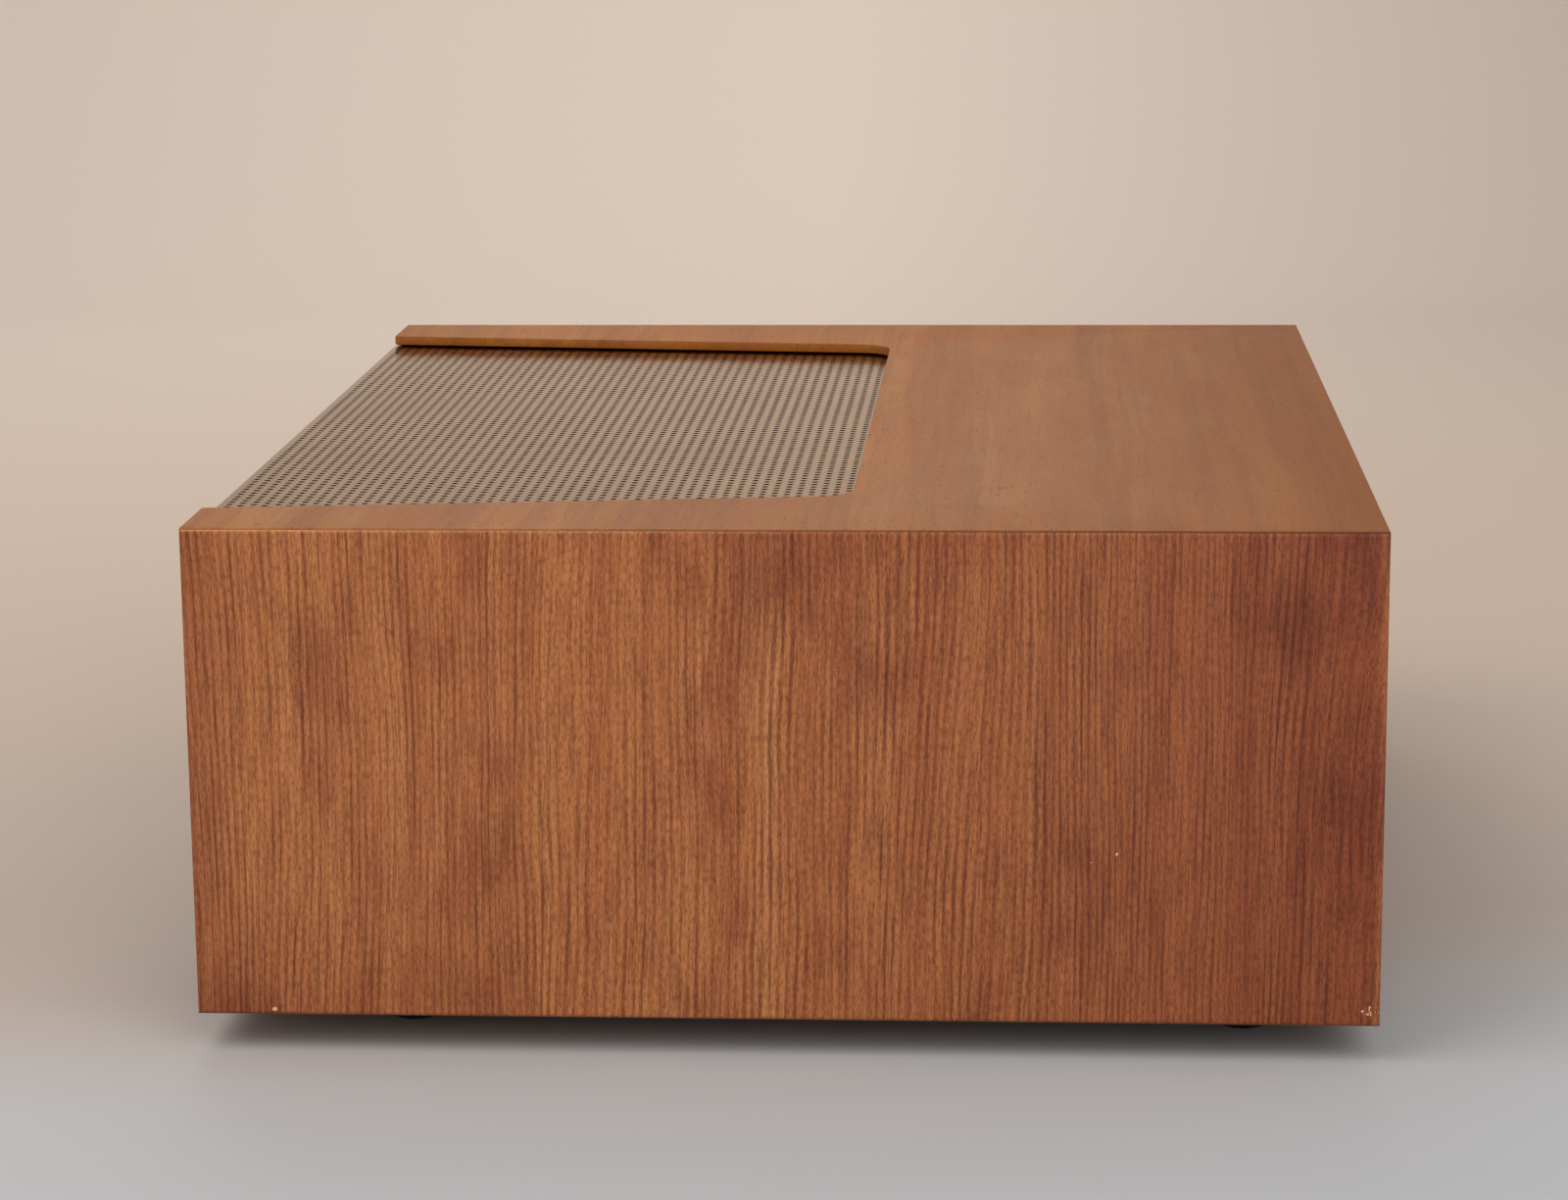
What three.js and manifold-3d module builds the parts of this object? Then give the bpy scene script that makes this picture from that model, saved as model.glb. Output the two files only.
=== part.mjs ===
// An integrated amplifier in a mitred wooden sleeve. A steel chassis with an aluminium front
// panel stands inside it, and a perforated cover lies in a cutout at the rear of the sleeve's top.
// Millimetres. +X is to the right seen from the front, +Y runs to the rear, +Z is up.
// The origin lies under the middle of the object, on the surface it stands on.

import * as THREE from "three";
import { mergeVertices } from "three/addons/utils/BufferGeometryUtils.js";
import Module from "manifold-3d";

const wasm = await Module();
wasm.setup();

// Fits
const touchGap = 0.3; // between pieces that rest on or pass through each other
const mitreInset = 0.2; // each panel's share of the glue line at a mitre
const slideGap = 0.5; // round the chassis and the front panel inside the sleeve

// Sleeve
const cabinetWidth = 394;
const cabinetDepth = 322;
const cabinetHeight = 136;
const panelThickness = 15;

// Cutout in the top panel, and the lip left above its rebate
const ventCheekRear = 30; // wood beside the cutout at the rear edge
const ventCheekFront = 51; // wood beside the cutout at its front end
const ventDepth = 178;
const ventCornerRadius = 12;
const lipThickness = 3.2;
const lipWidth = 12;

// Perforated cover and its battens
const sheetThickness = 1;
const sheetDrop = 0.6; // from the lip down to the sheet
const sheetOverlap = 10; // how far the sheet runs in under the lip
const sheetProud = 1; // how far the sheet stands out at the rear
const sheetFlange = 11.4; // depth of the fold at the rear edge
const battenWidth = 9;
const battenHeight = 9;
const battenEndGap = 6;

// Feet
const footHeight = 10;
const footTopRadius = 10;
const footBottomRadius = 7.5;
const footInsetSide = 35;
const footInsetFront = 35;
const footInsetRear = 55;
const footRecessRadius = 5;
const footRecessDepth = 4;
const screwHeadRadius = 4;
const screwHeadHeight = 2.2;
const screwShankRadius = 1.8;
const screwGrip = 10; // length of the screw inside the bottom panel

// Ventilation slots in the bottom panel
const slotLength = 70;
const slotWidth = 6;
const slotPitch = 16;
const slotsPerSide = 5;
const slotRowOffset = 62; // of each row of slots from the middle of the cabinet

// Front panel and chassis
const fasciaInset = 18; // from the sleeve's front edge to the face of the panel
const fasciaThickness = 3;
const chassisSheet = 1.5;
const trayWallHeight = 45;
const traySideGap = 1.5;
const rearInset = 14; // from the sleeve's rear edge to the rear panel
const rearReturn = 12;

// Rotary controls
const bushingRadius = 4.7;
const bushingProud = 2;
const shaftRadius = 3;
const boreClearance = 0.35;
const knobGap = 1; // between a knob and the front panel
const knobDepth = 16;
const knobChamfer = 1.2;
const knobRecessRadius = 7.5;
const knobRecessDepth = 4;
const knobWall = 3; // from the end of the shaft's bore to the knob's face
const potRadius = 12;
const potDepth = 13;

const knobRowHeight = 62; // above the sleeve's inner floor
const rotaryControls = [
  { name: "selector", x: -132, radius: 18 },
  { name: "bass", x: -66, radius: 13 },
  { name: "treble", x: -22, radius: 13 },
  { name: "balance", x: 22, radius: 13 },
  { name: "volume", x: 118, radius: 22 },
];

// Lever switches
const leverRowHeight = 23; // above the sleeve's inner floor
const leverTilt = 12; // degrees below level at rest
const leverReach = 16; // from the pivot to the tip
const leverTail = 4;
const leverStemRadius = 1.4;
const leverTipRadius = 2.6;
const leverBushingRadius = 5.6;
const leverBushingProud = 4;
const leverBoreRadius = 3.7;
const switchWidth = 13;
const switchHeight = 20;
const switchDepth = 26;
const leverSwitches = [
  { name: "tape_monitor", x: -66 },
  { name: "low_filter", x: -22 },
  { name: "high_filter", x: 22 },
  { name: "speaker", x: 66 },
];

// Power button, pilot lamp and headphone jack
const powerX = 150;
const buttonRadius = 6;
const buttonProud = 8;
const buttonTail = 6; // behind the chassis wall
const buttonTravel = 3;
const stemRadius = 2;
const stemLength = 7;
const powerSwitchSize = 22;
const powerSwitchDepth = 24;
const powerSwitchArm = 2;
const pilotX = 118;
const lensRadius = 4.5;
const lensProud = 3;
const lampHolderRadius = 7;
const lampHolderDepth = 18;
const jackX = -132;
const jackBoreRadius = 3.3;
const jackBushingRadius = 4.8;
const jackNutRadius = 7;
const jackNutThickness = 2.5;
const jackBoreDepth = 32;
const jackBodyWidth = 16;
const jackBodyHeight = 18;
const jackBodyDepth = 30;

// Rear connections, their places measured from the sleeve's inner floor
const inputColumns = 4;
const inputRows = 2;
const inputPitchX = 22;
const inputPitchZ = 22;
const inputCentreX = -118;
const inputCentreHeight = 56;
const inputBoardMargin = 12;
const inputBoardThickness = 2;
const collarRadius = 4.2;
const collarLength = 9;
const collarBoreRadius = 1.6;
const terminalCount = 4;
const terminalPitch = 14;
const terminalCentreX = -2;
const terminalCentreHeight = 52;
const terminalBaseHeight = 24;
const terminalBaseDepth = 5;
const barrierThickness = 2.5;
const barrierDepth = 7;
const inletCentreX = 138;
const inletCentreHeight = 36;
const inletWidth = 30;
const inletHeight = 23;
const inletFlange = 10; // each ear, beside the housing
const inletFlangeThickness = 3;
const inletHousingDepth = 22;
const inletCavityWidth = 24;
const inletCavityHeight = 16.5;
const inletCavityDepth = 17;
const inletPinLength = 11;
const inletPinWidth = 2;
const inletPinHeight = 4;
const inletPinSpread = 7;
const fuseX = 92;
const fuseHeight = 62;
const fuseFlangeRadius = 9;
const fuseFlangeThickness = 2;
const fuseBodyRadius = 6.5;
const fuseBodyDepth = 34;
const fuseCapRadius = 6;
const fuseCapDepth = 9;
const fusePlugRadius = 4;
const fusePlugDepth = 14;

// Inside the chassis: a row of parts stands between the tone control board and the sockets
const insideGap = 4; // between neighbours
const socketRoom = 42; // kept free in front of the rear panel
const toneBoardWidth = 250;
const toneBoardDepth = 62;
const toneBoardGap = 46; // behind the chassis front wall
const transformerX = -112;
const coreWidth = 86;
const coreDepth = 34;
const coreHeight = 72;
const coilWidth = 54;
const coilDepth = 64;
const coilHeight = 46;
const transformerFoot = 3;
const transformerFootDepth = 58;
const canRadius = 17.5;
const canHeight = 74;
const canBead = 1;
const canX = -22;
const canSpacing = 44;
const sinkX = 108;
const sinkWidth = 120;
const sinkDepth = 30;
const sinkHeight = 70;
const sinkBase = 6;
const finCount = 11;
const finThickness = 2.4;
const powerBoardWidth = 116;
const boardThickness = 1.6;
const boardStand = 9;
const boardPostSize = 6;

// Places worked out from the sizes above
const objectDepth = cabinetDepth + sheetProud;
const yFront = -objectDepth / 2;
const yRear = yFront + cabinetDepth;
const zBase = footHeight;
const zTop = zBase + cabinetHeight;
const halfWidth = cabinetWidth / 2;
const zFloor = zBase + panelThickness;
const zCeiling = zTop - panelThickness;
const innerHalf = halfWidth - panelThickness;
const yVent = yRear - ventDepth;
const sheetTop = zTop - lipThickness - sheetDrop;
const sheetBottom = sheetTop - sheetThickness;
const fasciaFront = yFront + fasciaInset;
const fasciaBack = fasciaFront + fasciaThickness;
const wallFront = fasciaBack + touchGap;
const wallBack = wallFront + chassisSheet;
const mountFace = wallBack + touchGap; // where controls stand behind the chassis wall
const rearFace = yRear - rearInset;
const rearInner = rearFace - chassisSheet;
const trayHalf = innerHalf - traySideGap;
const trayTop = zFloor + touchGap + chassisSheet;
const zKnobs = zFloor + knobRowHeight;
const zLevers = zFloor + leverRowHeight;
const zPower = zLevers;
const zPilot = zLevers;
const zJack = zLevers;
const leverPivot = (fasciaFront + wallBack) / 2;
const toneBoardRear = wallBack + toneBoardGap + toneBoardDepth;
const rowFront = toneBoardRear + insideGap;
const rowRear = rearInner - socketRoom;
const transformerY = rowRear - coilDepth / 2;
const rearCanY = rowRear - canRadius;
const leftSinkY = rowRear - sinkDepth / 2;
const rightSinkY = rowFront + sinkDepth / 2;
const powerBoardDepth = leftSinkY - rightSinkY - sinkDepth - 2 * insideGap;

const holeSides = 16;
const turnedSides = 28;
const smallSides = 12;
const collarSides = 12;

const finishes = {
  veneer: new THREE.MeshStandardMaterial({ color: 0xa5623a, roughness: 0.5, metalness: 0 }),
  plywood: new THREE.MeshStandardMaterial({ color: 0xb98d5f, roughness: 0.7, metalness: 0 }),
  coverMetal: new THREE.MeshStandardMaterial({ color: 0xb29982, roughness: 0.35, metalness: 0.9 }),
  brushedAluminium: new THREE.MeshStandardMaterial({ color: 0xc9c2b4, roughness: 0.35, metalness: 1 }),
  turnedAluminium: new THREE.MeshStandardMaterial({ color: 0xd2ccbf, roughness: 0.3, metalness: 1 }),
  platedSteel: new THREE.MeshStandardMaterial({ color: 0xa6a49c, roughness: 0.4, metalness: 0.9 }),
  chrome: new THREE.MeshStandardMaterial({ color: 0xd8d8d8, roughness: 0.12, metalness: 1 }),
  rubber: new THREE.MeshStandardMaterial({ color: 0x1b1a19, roughness: 0.8, metalness: 0 }),
  moulding: new THREE.MeshStandardMaterial({ color: 0x1d1c1b, roughness: 0.5, metalness: 0 }),
  circuitBoard: new THREE.MeshStandardMaterial({ color: 0x8a6534, roughness: 0.6, metalness: 0 }),
  lens: new THREE.MeshStandardMaterial({ color: 0xd9781e, roughness: 0.15, metalness: 0 }),
  blackAluminium: new THREE.MeshStandardMaterial({ color: 0x222222, roughness: 0.5, metalness: 0.8 }),
};

const amplifier = new THREE.Group();

// A closed geometry as a solid that can be joined and cut.
function solid(geometry) {
  const plain = geometry.clone();
  plain.deleteAttribute("normal");
  plain.deleteAttribute("uv");
  const merged = mergeVertices(plain, 1e-4);
  return new wasm.Manifold(
    new wasm.Mesh({
      numProp: 3,
      vertProperties: new Float32Array(merged.attributes.position.array),
      triVerts: new Uint32Array(merged.index.array),
    }),
  );
}

function addPart(name, shape, finish, place = [0, 0, 0], tilt = 0) {
  const surface = shape.getMesh();
  const geometry = new THREE.BufferGeometry();
  geometry.setAttribute("position", new THREE.BufferAttribute(surface.vertProperties, 3));
  geometry.setIndex(new THREE.BufferAttribute(surface.triVerts, 1));
  geometry.computeVertexNormals();
  const mesh = new THREE.Mesh(geometry, finish);
  mesh.name = name;
  mesh.position.set(...place);
  mesh.rotation.x = THREE.MathUtils.degToRad(tilt);
  amplifier.add(mesh);
}

// A box between two corners.
function block(low, high) {
  const size = high.map((value, axis) => value - low[axis]);
  const middle = high.map((value, axis) => (value + low[axis]) / 2);
  return solid(new THREE.BoxGeometry(...size).translate(...middle));
}

// A round piece about the Y axis, from [radius, y] points that run from front to rear.
function turned(points, sides = turnedSides) {
  const profile = points.map(([radius, y]) => new THREE.Vector2(radius, y));
  return solid(new THREE.LatheGeometry(profile, sides));
}

function rod(radius, yLow, yHigh, sides = holeSides) {
  return turned([[0, yLow], [radius, yLow], [radius, yHigh], [0, yHigh]], sides);
}

// A round piece about the Z axis, from [radius, z] points that run upwards.
function upright(points, sides = turnedSides) {
  const profile = points.map(([radius, z]) => new THREE.Vector2(radius, z));
  return solid(new THREE.LatheGeometry(profile, sides).rotateX(Math.PI / 2));
}

// An outline in X and Z, drawn out along Y.
function alongY(corners, yLow, yHigh) {
  const outline = new THREE.Shape(corners.map(([x, z]) => new THREE.Vector2(x, z)));
  const options = { depth: yHigh - yLow, bevelEnabled: false };
  return solid(new THREE.ExtrudeGeometry(outline, options).rotateX(Math.PI / 2).translate(0, yHigh, 0));
}

// An outline in X and Y, drawn upwards.
function alongZ(outline, zLow, zHigh) {
  const options = { depth: zHigh - zLow, bevelEnabled: false, curveSegments: 6 };
  return solid(new THREE.ExtrudeGeometry(outline, options).translate(0, 0, zLow));
}

function joined(pieces) {
  return pieces.reduce((whole, piece) => whole.add(piece));
}

function cut(whole, tools) {
  return tools.reduce((rest, tool) => rest.subtract(tool), whole);
}

// Half the cutout's width at a place along Y.
function ventHalf(y) {
  const rearHalf = halfWidth - ventCheekRear;
  const frontHalf = halfWidth - ventCheekFront;
  return frontHalf + ((rearHalf - frontHalf) * (y - yVent)) / ventDepth;
}

// The cutout's plan, grown outwards, with two round corners in front and a straight rear edge.
function ventPlan(grow, yEnd, cornerRadius) {
  const yStart = yVent - grow;
  const frontHalf = ventHalf(yStart) + grow;
  const rearHalf = ventHalf(yEnd) + grow;
  const lean = Math.atan2(rearHalf - frontHalf, yEnd - yStart);
  const setback = cornerRadius * Math.tan((Math.PI / 2 - lean) / 2);
  const centreX = frontHalf - setback;
  const centreY = yStart + cornerRadius;
  const plan = new THREE.Shape();
  plan.absarc(-centreX, centreY, cornerRadius, Math.PI + lean, Math.PI * 1.5, false);
  plan.absarc(centreX, centreY, cornerRadius, -Math.PI / 2, -lean, false);
  plan.lineTo(rearHalf, yEnd);
  plan.lineTo(-rearHalf, yEnd);
  plan.closePath();
  return plan;
}

// The ventilation slots, which go through the bottom panel and the chassis above it.
function floorSlots(zLow, zHigh) {
  const slots = [];
  for (const rowY of [-slotRowOffset, slotRowOffset]) {
    for (let index = 0; index < slotsPerSide; index += 1) {
      const y = rowY + (index - (slotsPerSide - 1) / 2) * slotPitch;
      for (const x of [-innerHalf / 2, innerHalf / 2]) {
        const low = [x - slotLength / 2, y - slotWidth / 2, zLow];
        slots.push(block(low, [x + slotLength / 2, y + slotWidth / 2, zHigh]));
      }
    }
  }
  return slots;
}

function makeSleeve() {
  const spanLow = zBase + mitreInset;
  const spanHigh = zTop - mitreInset;
  const side = alongY(
    [
      [-halfWidth, spanLow],
      [-innerHalf, zFloor + mitreInset],
      [-innerHalf, zCeiling - mitreInset],
      [-halfWidth, spanHigh],
    ],
    yFront,
    yRear,
  );
  addPart("left_side_panel", side, finishes.veneer);
  addPart("right_side_panel", side.mirror([1, 0, 0]), finishes.veneer);

  const board = alongY(
    [
      [-halfWidth + mitreInset, zTop],
      [-innerHalf + mitreInset, zCeiling],
      [innerHalf - mitreInset, zCeiling],
      [halfWidth - mitreInset, zTop],
    ],
    yFront,
    yRear,
  );
  const overrun = 5;
  const opening = alongZ(ventPlan(0, yRear + overrun, ventCornerRadius), zCeiling - overrun, zTop + overrun);
  const rebatePlan = ventPlan(lipWidth, yRear + overrun, ventCornerRadius);
  const rebate = alongZ(rebatePlan, zCeiling - overrun, zTop - lipThickness);
  addPart("top_panel", cut(board, [opening, rebate]), finishes.veneer);

  const floorBoard = alongY(
    [
      [-halfWidth + mitreInset, zBase],
      [halfWidth - mitreInset, zBase],
      [innerHalf - mitreInset, zFloor],
      [-innerHalf + mitreInset, zFloor],
    ],
    yFront,
    yRear,
  );
  const slots = floorSlots(zBase - overrun, zFloor + overrun);
  const screwHoles = footPlaces().map(({ x, y }) =>
    upright([
      [0, zBase - overrun],
      [screwShankRadius + touchGap, zBase - overrun],
      [screwShankRadius + touchGap, zBase + screwGrip + touchGap],
      [0, zBase + screwGrip + touchGap],
    ], smallSides).translate([x, y, 0]),
  );
  addPart("bottom_panel", cut(floorBoard, [...slots, ...screwHoles]), finishes.plywood);
}

function footPlaces() {
  const x = halfWidth - footInsetSide;
  const front = yFront + footInsetFront;
  const rear = yRear - footInsetRear;
  return [
    { name: "front_left", x: -x, y: front },
    { name: "front_right", x, y: front },
    { name: "rear_left", x: -x, y: rear },
    { name: "rear_right", x, y: rear },
  ];
}

function makeFeet() {
  const holeRadius = screwShankRadius + touchGap;
  const top = footHeight - touchGap;
  const bevel = 1;
  const foot = upright([
    [footRecessRadius, 0],
    [footBottomRadius - bevel, 0],
    [footBottomRadius, bevel],
    [footTopRadius, top],
    [holeRadius, top],
    [holeRadius, footRecessDepth],
    [footRecessRadius, footRecessDepth],
    [footRecessRadius, 0],
  ], turnedSides);
  const headLow = footRecessDepth - touchGap - screwHeadHeight;
  const screw = upright([
    [0, headLow],
    [screwHeadRadius - 1, headLow],
    [screwHeadRadius, headLow + 1],
    [screwHeadRadius, headLow + screwHeadHeight],
    [screwShankRadius, headLow + screwHeadHeight],
    [screwShankRadius, zBase + screwGrip - 2],
    [0, zBase + screwGrip],
  ], smallSides);
  for (const { name, x, y } of footPlaces()) {
    addPart(`foot_${name}`, foot, finishes.rubber, [x, y, 0]);
    addPart(`foot_screw_${name}`, screw, finishes.platedSteel, [x, y, 0]);
  }
}

function makeVentCover() {
  const yEdge = yRear + sheetProud;
  const sheet = alongZ(ventPlan(sheetOverlap, yEdge, ventCornerRadius), sheetBottom, sheetTop);
  const flangeHalf = ventHalf(yRear) - touchGap;
  const flange = block(
    [-flangeHalf, yEdge - sheetThickness, sheetTop - sheetFlange],
    [flangeHalf, yEdge, sheetTop - sheetThickness / 2],
  );
  addPart("vent_cover", sheet.add(flange), finishes.coverMetal);

  const high = sheetBottom - touchGap;
  const low = high - battenHeight;
  const start = yVent + battenEndGap;
  const end = yRear - battenEndGap;
  const strip = new THREE.Shape([
    new THREE.Vector2(ventHalf(start) + 1, start),
    new THREE.Vector2(ventHalf(start) + 1 + battenWidth, start),
    new THREE.Vector2(ventHalf(end) + 1 + battenWidth, end),
    new THREE.Vector2(ventHalf(end) + 1, end),
  ]);
  const sideBatten = alongZ(strip, low, high);
  addPart("cover_batten_right", sideBatten, finishes.plywood);
  addPart("cover_batten_left", sideBatten.mirror([1, 0, 0]), finishes.plywood);
  const frontHalf = ventHalf(yVent) - ventCornerRadius;
  const frontBatten = block([-frontHalf, yVent - 1 - battenWidth, low], [frontHalf, yVent - 1, high]);
  addPart("cover_batten_front", frontBatten, finishes.plywood);
}

// The holes that both the front panel and the chassis wall have.
function frontHoles(yLow, yHigh) {
  const hole = (radius, x, z) => rod(radius + touchGap, yLow, yHigh).translate([x, 0, z]);
  return [
    ...rotaryControls.map(({ x }) => hole(bushingRadius, x, zKnobs)),
    ...leverSwitches.map(({ x }) => hole(leverBushingRadius, x, zLevers)),
    hole(buttonRadius, powerX, zPower),
    hole(lensRadius, pilotX, zPilot),
    hole(jackBushingRadius, jackX, zJack),
  ];
}

function makeFrontPanel() {
  const half = innerHalf - slideGap;
  const plate = block([-half, fasciaFront, zFloor + slideGap], [half, fasciaBack, zCeiling - slideGap]);
  addPart("front_panel", cut(plate, frontHoles(fasciaFront - 1, fasciaBack + 1)), finishes.brushedAluminium);
}

function makeChassis() {
  const low = zFloor + touchGap;
  const rearEnd = rearInner - touchGap;
  const base = block([-trayHalf, wallFront, low], [trayHalf, rearEnd, trayTop]);
  const wall = block([-trayHalf, wallFront, low], [trayHalf, wallBack, zCeiling - slideGap]);
  const side = block([-trayHalf, wallFront, low], [-trayHalf + chassisSheet, rearEnd, low + trayWallHeight]);
  const tray = joined([base, wall, side, side.mirror([1, 0, 0])]);
  const trayHoles = [...frontHoles(wallFront - 1, wallBack + 1), ...floorSlots(low - 1, trayTop + 1)];
  addPart("chassis_tray", cut(tray, trayHoles), finishes.platedSteel);

  const top = zCeiling - slideGap;
  const plate = block([-trayHalf, rearInner, low], [trayHalf, rearFace, top]);
  const shelf = block([-trayHalf, rearFace - rearReturn, top - chassisSheet], [trayHalf, rearFace, top]);
  const through = (radius, x, height) =>
    rod(radius, rearInner - 1, rearFace + 1).translate([x, 0, zFloor + height]);
  const holes = inputPlaces().map(({ x, height }) => through(collarRadius, x, height));
  holes.push(through(fuseBodyRadius + touchGap, fuseX, fuseHeight));
  holes.push(
    block(
      [inletCentreX - inletWidth / 2 - touchGap, rearInner - 1, zInlet() - inletHeight / 2 - touchGap],
      [inletCentreX + inletWidth / 2 + touchGap, rearFace + 1, zInlet() + inletHeight / 2 + touchGap],
    ),
  );
  addPart("rear_panel", cut(plate.add(shelf), holes), finishes.platedSteel);
}

function makeRotaryControl({ name, x, radius }) {
  const knobRear = fasciaFront - knobGap;
  const knobFace = knobRear - knobDepth;
  const boreRadius = shaftRadius + boreClearance;
  const boreEnd = knobFace + knobWall;
  const knob = turned([
    [0, knobFace],
    [radius - knobChamfer, knobFace],
    [radius, knobFace + knobChamfer],
    [radius, knobRear],
    [knobRecessRadius, knobRear],
    [knobRecessRadius, knobRear - knobRecessDepth],
    [boreRadius, knobRear - knobRecessDepth],
    [boreRadius, boreEnd],
    [0, boreEnd],
  ]);
  addPart(`${name}_knob`, knob, finishes.turnedAluminium, [x, 0, zKnobs]);

  const shaftEnd = mountFace + potDepth - 3;
  const shaft = rod(shaftRadius, boreEnd + touchGap, shaftEnd, smallSides);
  addPart(`${name}_shaft`, shaft, finishes.platedSteel, [x, 0, zKnobs]);

  const bushingFront = fasciaFront - bushingProud;
  const control = turned([
    [boreRadius, bushingFront],
    [bushingRadius, bushingFront],
    [bushingRadius, mountFace],
    [potRadius, mountFace],
    [potRadius, mountFace + potDepth],
    [0, mountFace + potDepth],
    [0, shaftEnd + touchGap],
    [boreRadius, shaftEnd + touchGap],
    [boreRadius, bushingFront],
  ], holeSides);
  addPart(`${name}_control`, control, finishes.platedSteel, [x, 0, zKnobs]);
}

function makeLeverSwitch({ name, x }) {
  const tip = -leverReach;
  const lever = turned([
    [0, tip],
    [leverTipRadius * 0.6, tip + 0.5],
    [leverTipRadius, tip + 2],
    [leverStemRadius, -leverTail],
    [leverStemRadius, leverTail],
    [0, leverTail],
  ], smallSides);
  addPart(`${name}_lever`, lever, finishes.chrome, [x, leverPivot, zLevers], leverTilt);

  const bushingFront = fasciaFront - leverBushingProud;
  const bushing = rod(leverBushingRadius, bushingFront, mountFace + 1).translate([x, 0, zLevers]);
  const body = block(
    [x - switchWidth / 2, mountFace, zLevers - switchHeight / 2],
    [x + switchWidth / 2, mountFace + switchDepth, zLevers + switchHeight / 2],
  );
  const boreEnd = leverPivot + leverTail + 2;
  const bore = rod(leverBoreRadius, bushingFront - 1, boreEnd).translate([x, 0, zLevers]);
  addPart(`${name}_switch`, cut(bushing.add(body), [bore]), finishes.platedSteel);
}

function makePowerSwitch() {
  const tail = wallBack + buttonTail;
  const buttonBevel = 0.8;
  const button = turned([
    [0, fasciaFront - buttonProud],
    [buttonRadius - buttonBevel, fasciaFront - buttonProud],
    [buttonRadius, fasciaFront - buttonProud + buttonBevel],
    [buttonRadius, tail],
    [stemRadius, tail],
    [stemRadius, tail + stemLength],
    [0, tail + stemLength],
  ], holeSides);
  addPart("power_button", button, finishes.turnedAluminium, [powerX, 0, zPower]);

  const half = powerSwitchSize / 2;
  const bodyFront = tail + buttonTravel + 1.5;
  const body = block(
    [powerX - half, bodyFront, zPower - half],
    [powerX + half, bodyFront + powerSwitchDepth, zPower + half],
  );
  const arm = block(
    [powerX - half, mountFace, zPower - half],
    [powerX - half + powerSwitchArm, bodyFront + 1, zPower + half],
  );
  const otherArm = arm.translate([powerSwitchSize - powerSwitchArm, 0, 0]);
  const boreEnd = tail + stemLength + buttonTravel + 1;
  const bore = rod(stemRadius + 0.5, bodyFront - 1, boreEnd, smallSides).translate([powerX, 0, zPower]);
  addPart("power_switch", cut(joined([body, arm, otherArm]), [bore]), finishes.moulding);
}

function makePilotLamp() {
  const domeSteps = 4;
  const points = [];
  for (let step = 0; step <= domeSteps; step += 1) {
    const turn = (step / domeSteps) * (Math.PI / 2);
    points.push([lensRadius * Math.sin(turn), fasciaFront - lensProud * Math.cos(turn)]);
  }
  const lens = turned([...points, [lensRadius, fasciaBack], [0, fasciaBack]], holeSides);
  addPart("pilot_lens", lens, finishes.lens, [pilotX, 0, zPilot]);
  const holder = turned([
    [0, fasciaBack + touchGap],
    [lensRadius, fasciaBack + touchGap],
    [lensRadius, mountFace],
    [lampHolderRadius, mountFace],
    [lampHolderRadius, mountFace + lampHolderDepth],
    [0, mountFace + lampHolderDepth],
  ], holeSides);
  addPart("lamp_holder", holder, finishes.moulding, [pilotX, 0, zPilot]);
}

function makeHeadphoneJack() {
  const nutBack = fasciaFront - touchGap;
  const nutFront = nutBack - jackNutThickness;
  const nut = rod(jackNutRadius, nutFront, nutBack, 6).translate([jackX, 0, zJack]);
  const bushing = rod(jackBushingRadius, nutFront - 0.5, mountFace + 1).translate([jackX, 0, zJack]);
  const body = block(
    [jackX - jackBodyWidth / 2, mountFace, zJack - jackBodyHeight / 2],
    [jackX + jackBodyWidth / 2, mountFace + jackBodyDepth, zJack + jackBodyHeight / 2],
  );
  const bore = rod(jackBoreRadius, nutFront - 1, nutFront + jackBoreDepth).translate([jackX, 0, zJack]);
  addPart("headphone_jack", cut(joined([nut, bushing, body]), [bore]), finishes.moulding);
}

function inputPlaces() {
  const places = [];
  for (let column = 0; column < inputColumns; column += 1) {
    for (let row = 0; row < inputRows; row += 1) {
      places.push({
        x: inputCentreX + (column - (inputColumns - 1) / 2) * inputPitchX,
        height: inputCentreHeight + (row - (inputRows - 1) / 2) * inputPitchZ,
      });
    }
  }
  return places;
}

function makeInputJacks() {
  const boardFront = rearFace + touchGap;
  const boardBack = boardFront + inputBoardThickness;
  const halfX = ((inputColumns - 1) * inputPitchX) / 2 + inputBoardMargin;
  const halfZ = ((inputRows - 1) * inputPitchZ) / 2 + inputBoardMargin;
  const middle = zFloor + inputCentreHeight;
  const board = block(
    [inputCentreX - halfX, boardFront, middle - halfZ],
    [inputCentreX + halfX, boardBack, middle + halfZ],
  );
  const collarEnd = boardBack + collarLength;
  const collars = inputPlaces().map(({ x, height }) =>
    rod(collarRadius, boardFront + 1, collarEnd, collarSides).translate([x, 0, zFloor + height]),
  );
  const bores = inputPlaces().map(({ x, height }) =>
    rod(collarBoreRadius, boardBack + 1, collarEnd + 1, collarSides).translate([x, 0, zFloor + height]),
  );
  addPart("input_jacks", cut(joined([board, ...collars]), bores), finishes.moulding);
}

function makeSpeakerTerminals() {
  const low = zFloor + terminalCentreHeight - terminalBaseHeight / 2;
  const high = low + terminalBaseHeight;
  const halfX = (terminalCount * terminalPitch + barrierThickness) / 2;
  const front = rearFace + touchGap;
  const strip = block(
    [terminalCentreX - halfX, front, low],
    [terminalCentreX + halfX, front + terminalBaseDepth, high],
  );
  const barriers = [];
  for (let index = 0; index <= terminalCount; index += 1) {
    const x = terminalCentreX - halfX + index * terminalPitch;
    barriers.push(
      block([x, front + 1, low], [x + barrierThickness, front + terminalBaseDepth + barrierDepth, high]),
    );
  }
  addPart("speaker_terminals", joined([strip, ...barriers]), finishes.moulding);
}

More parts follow.
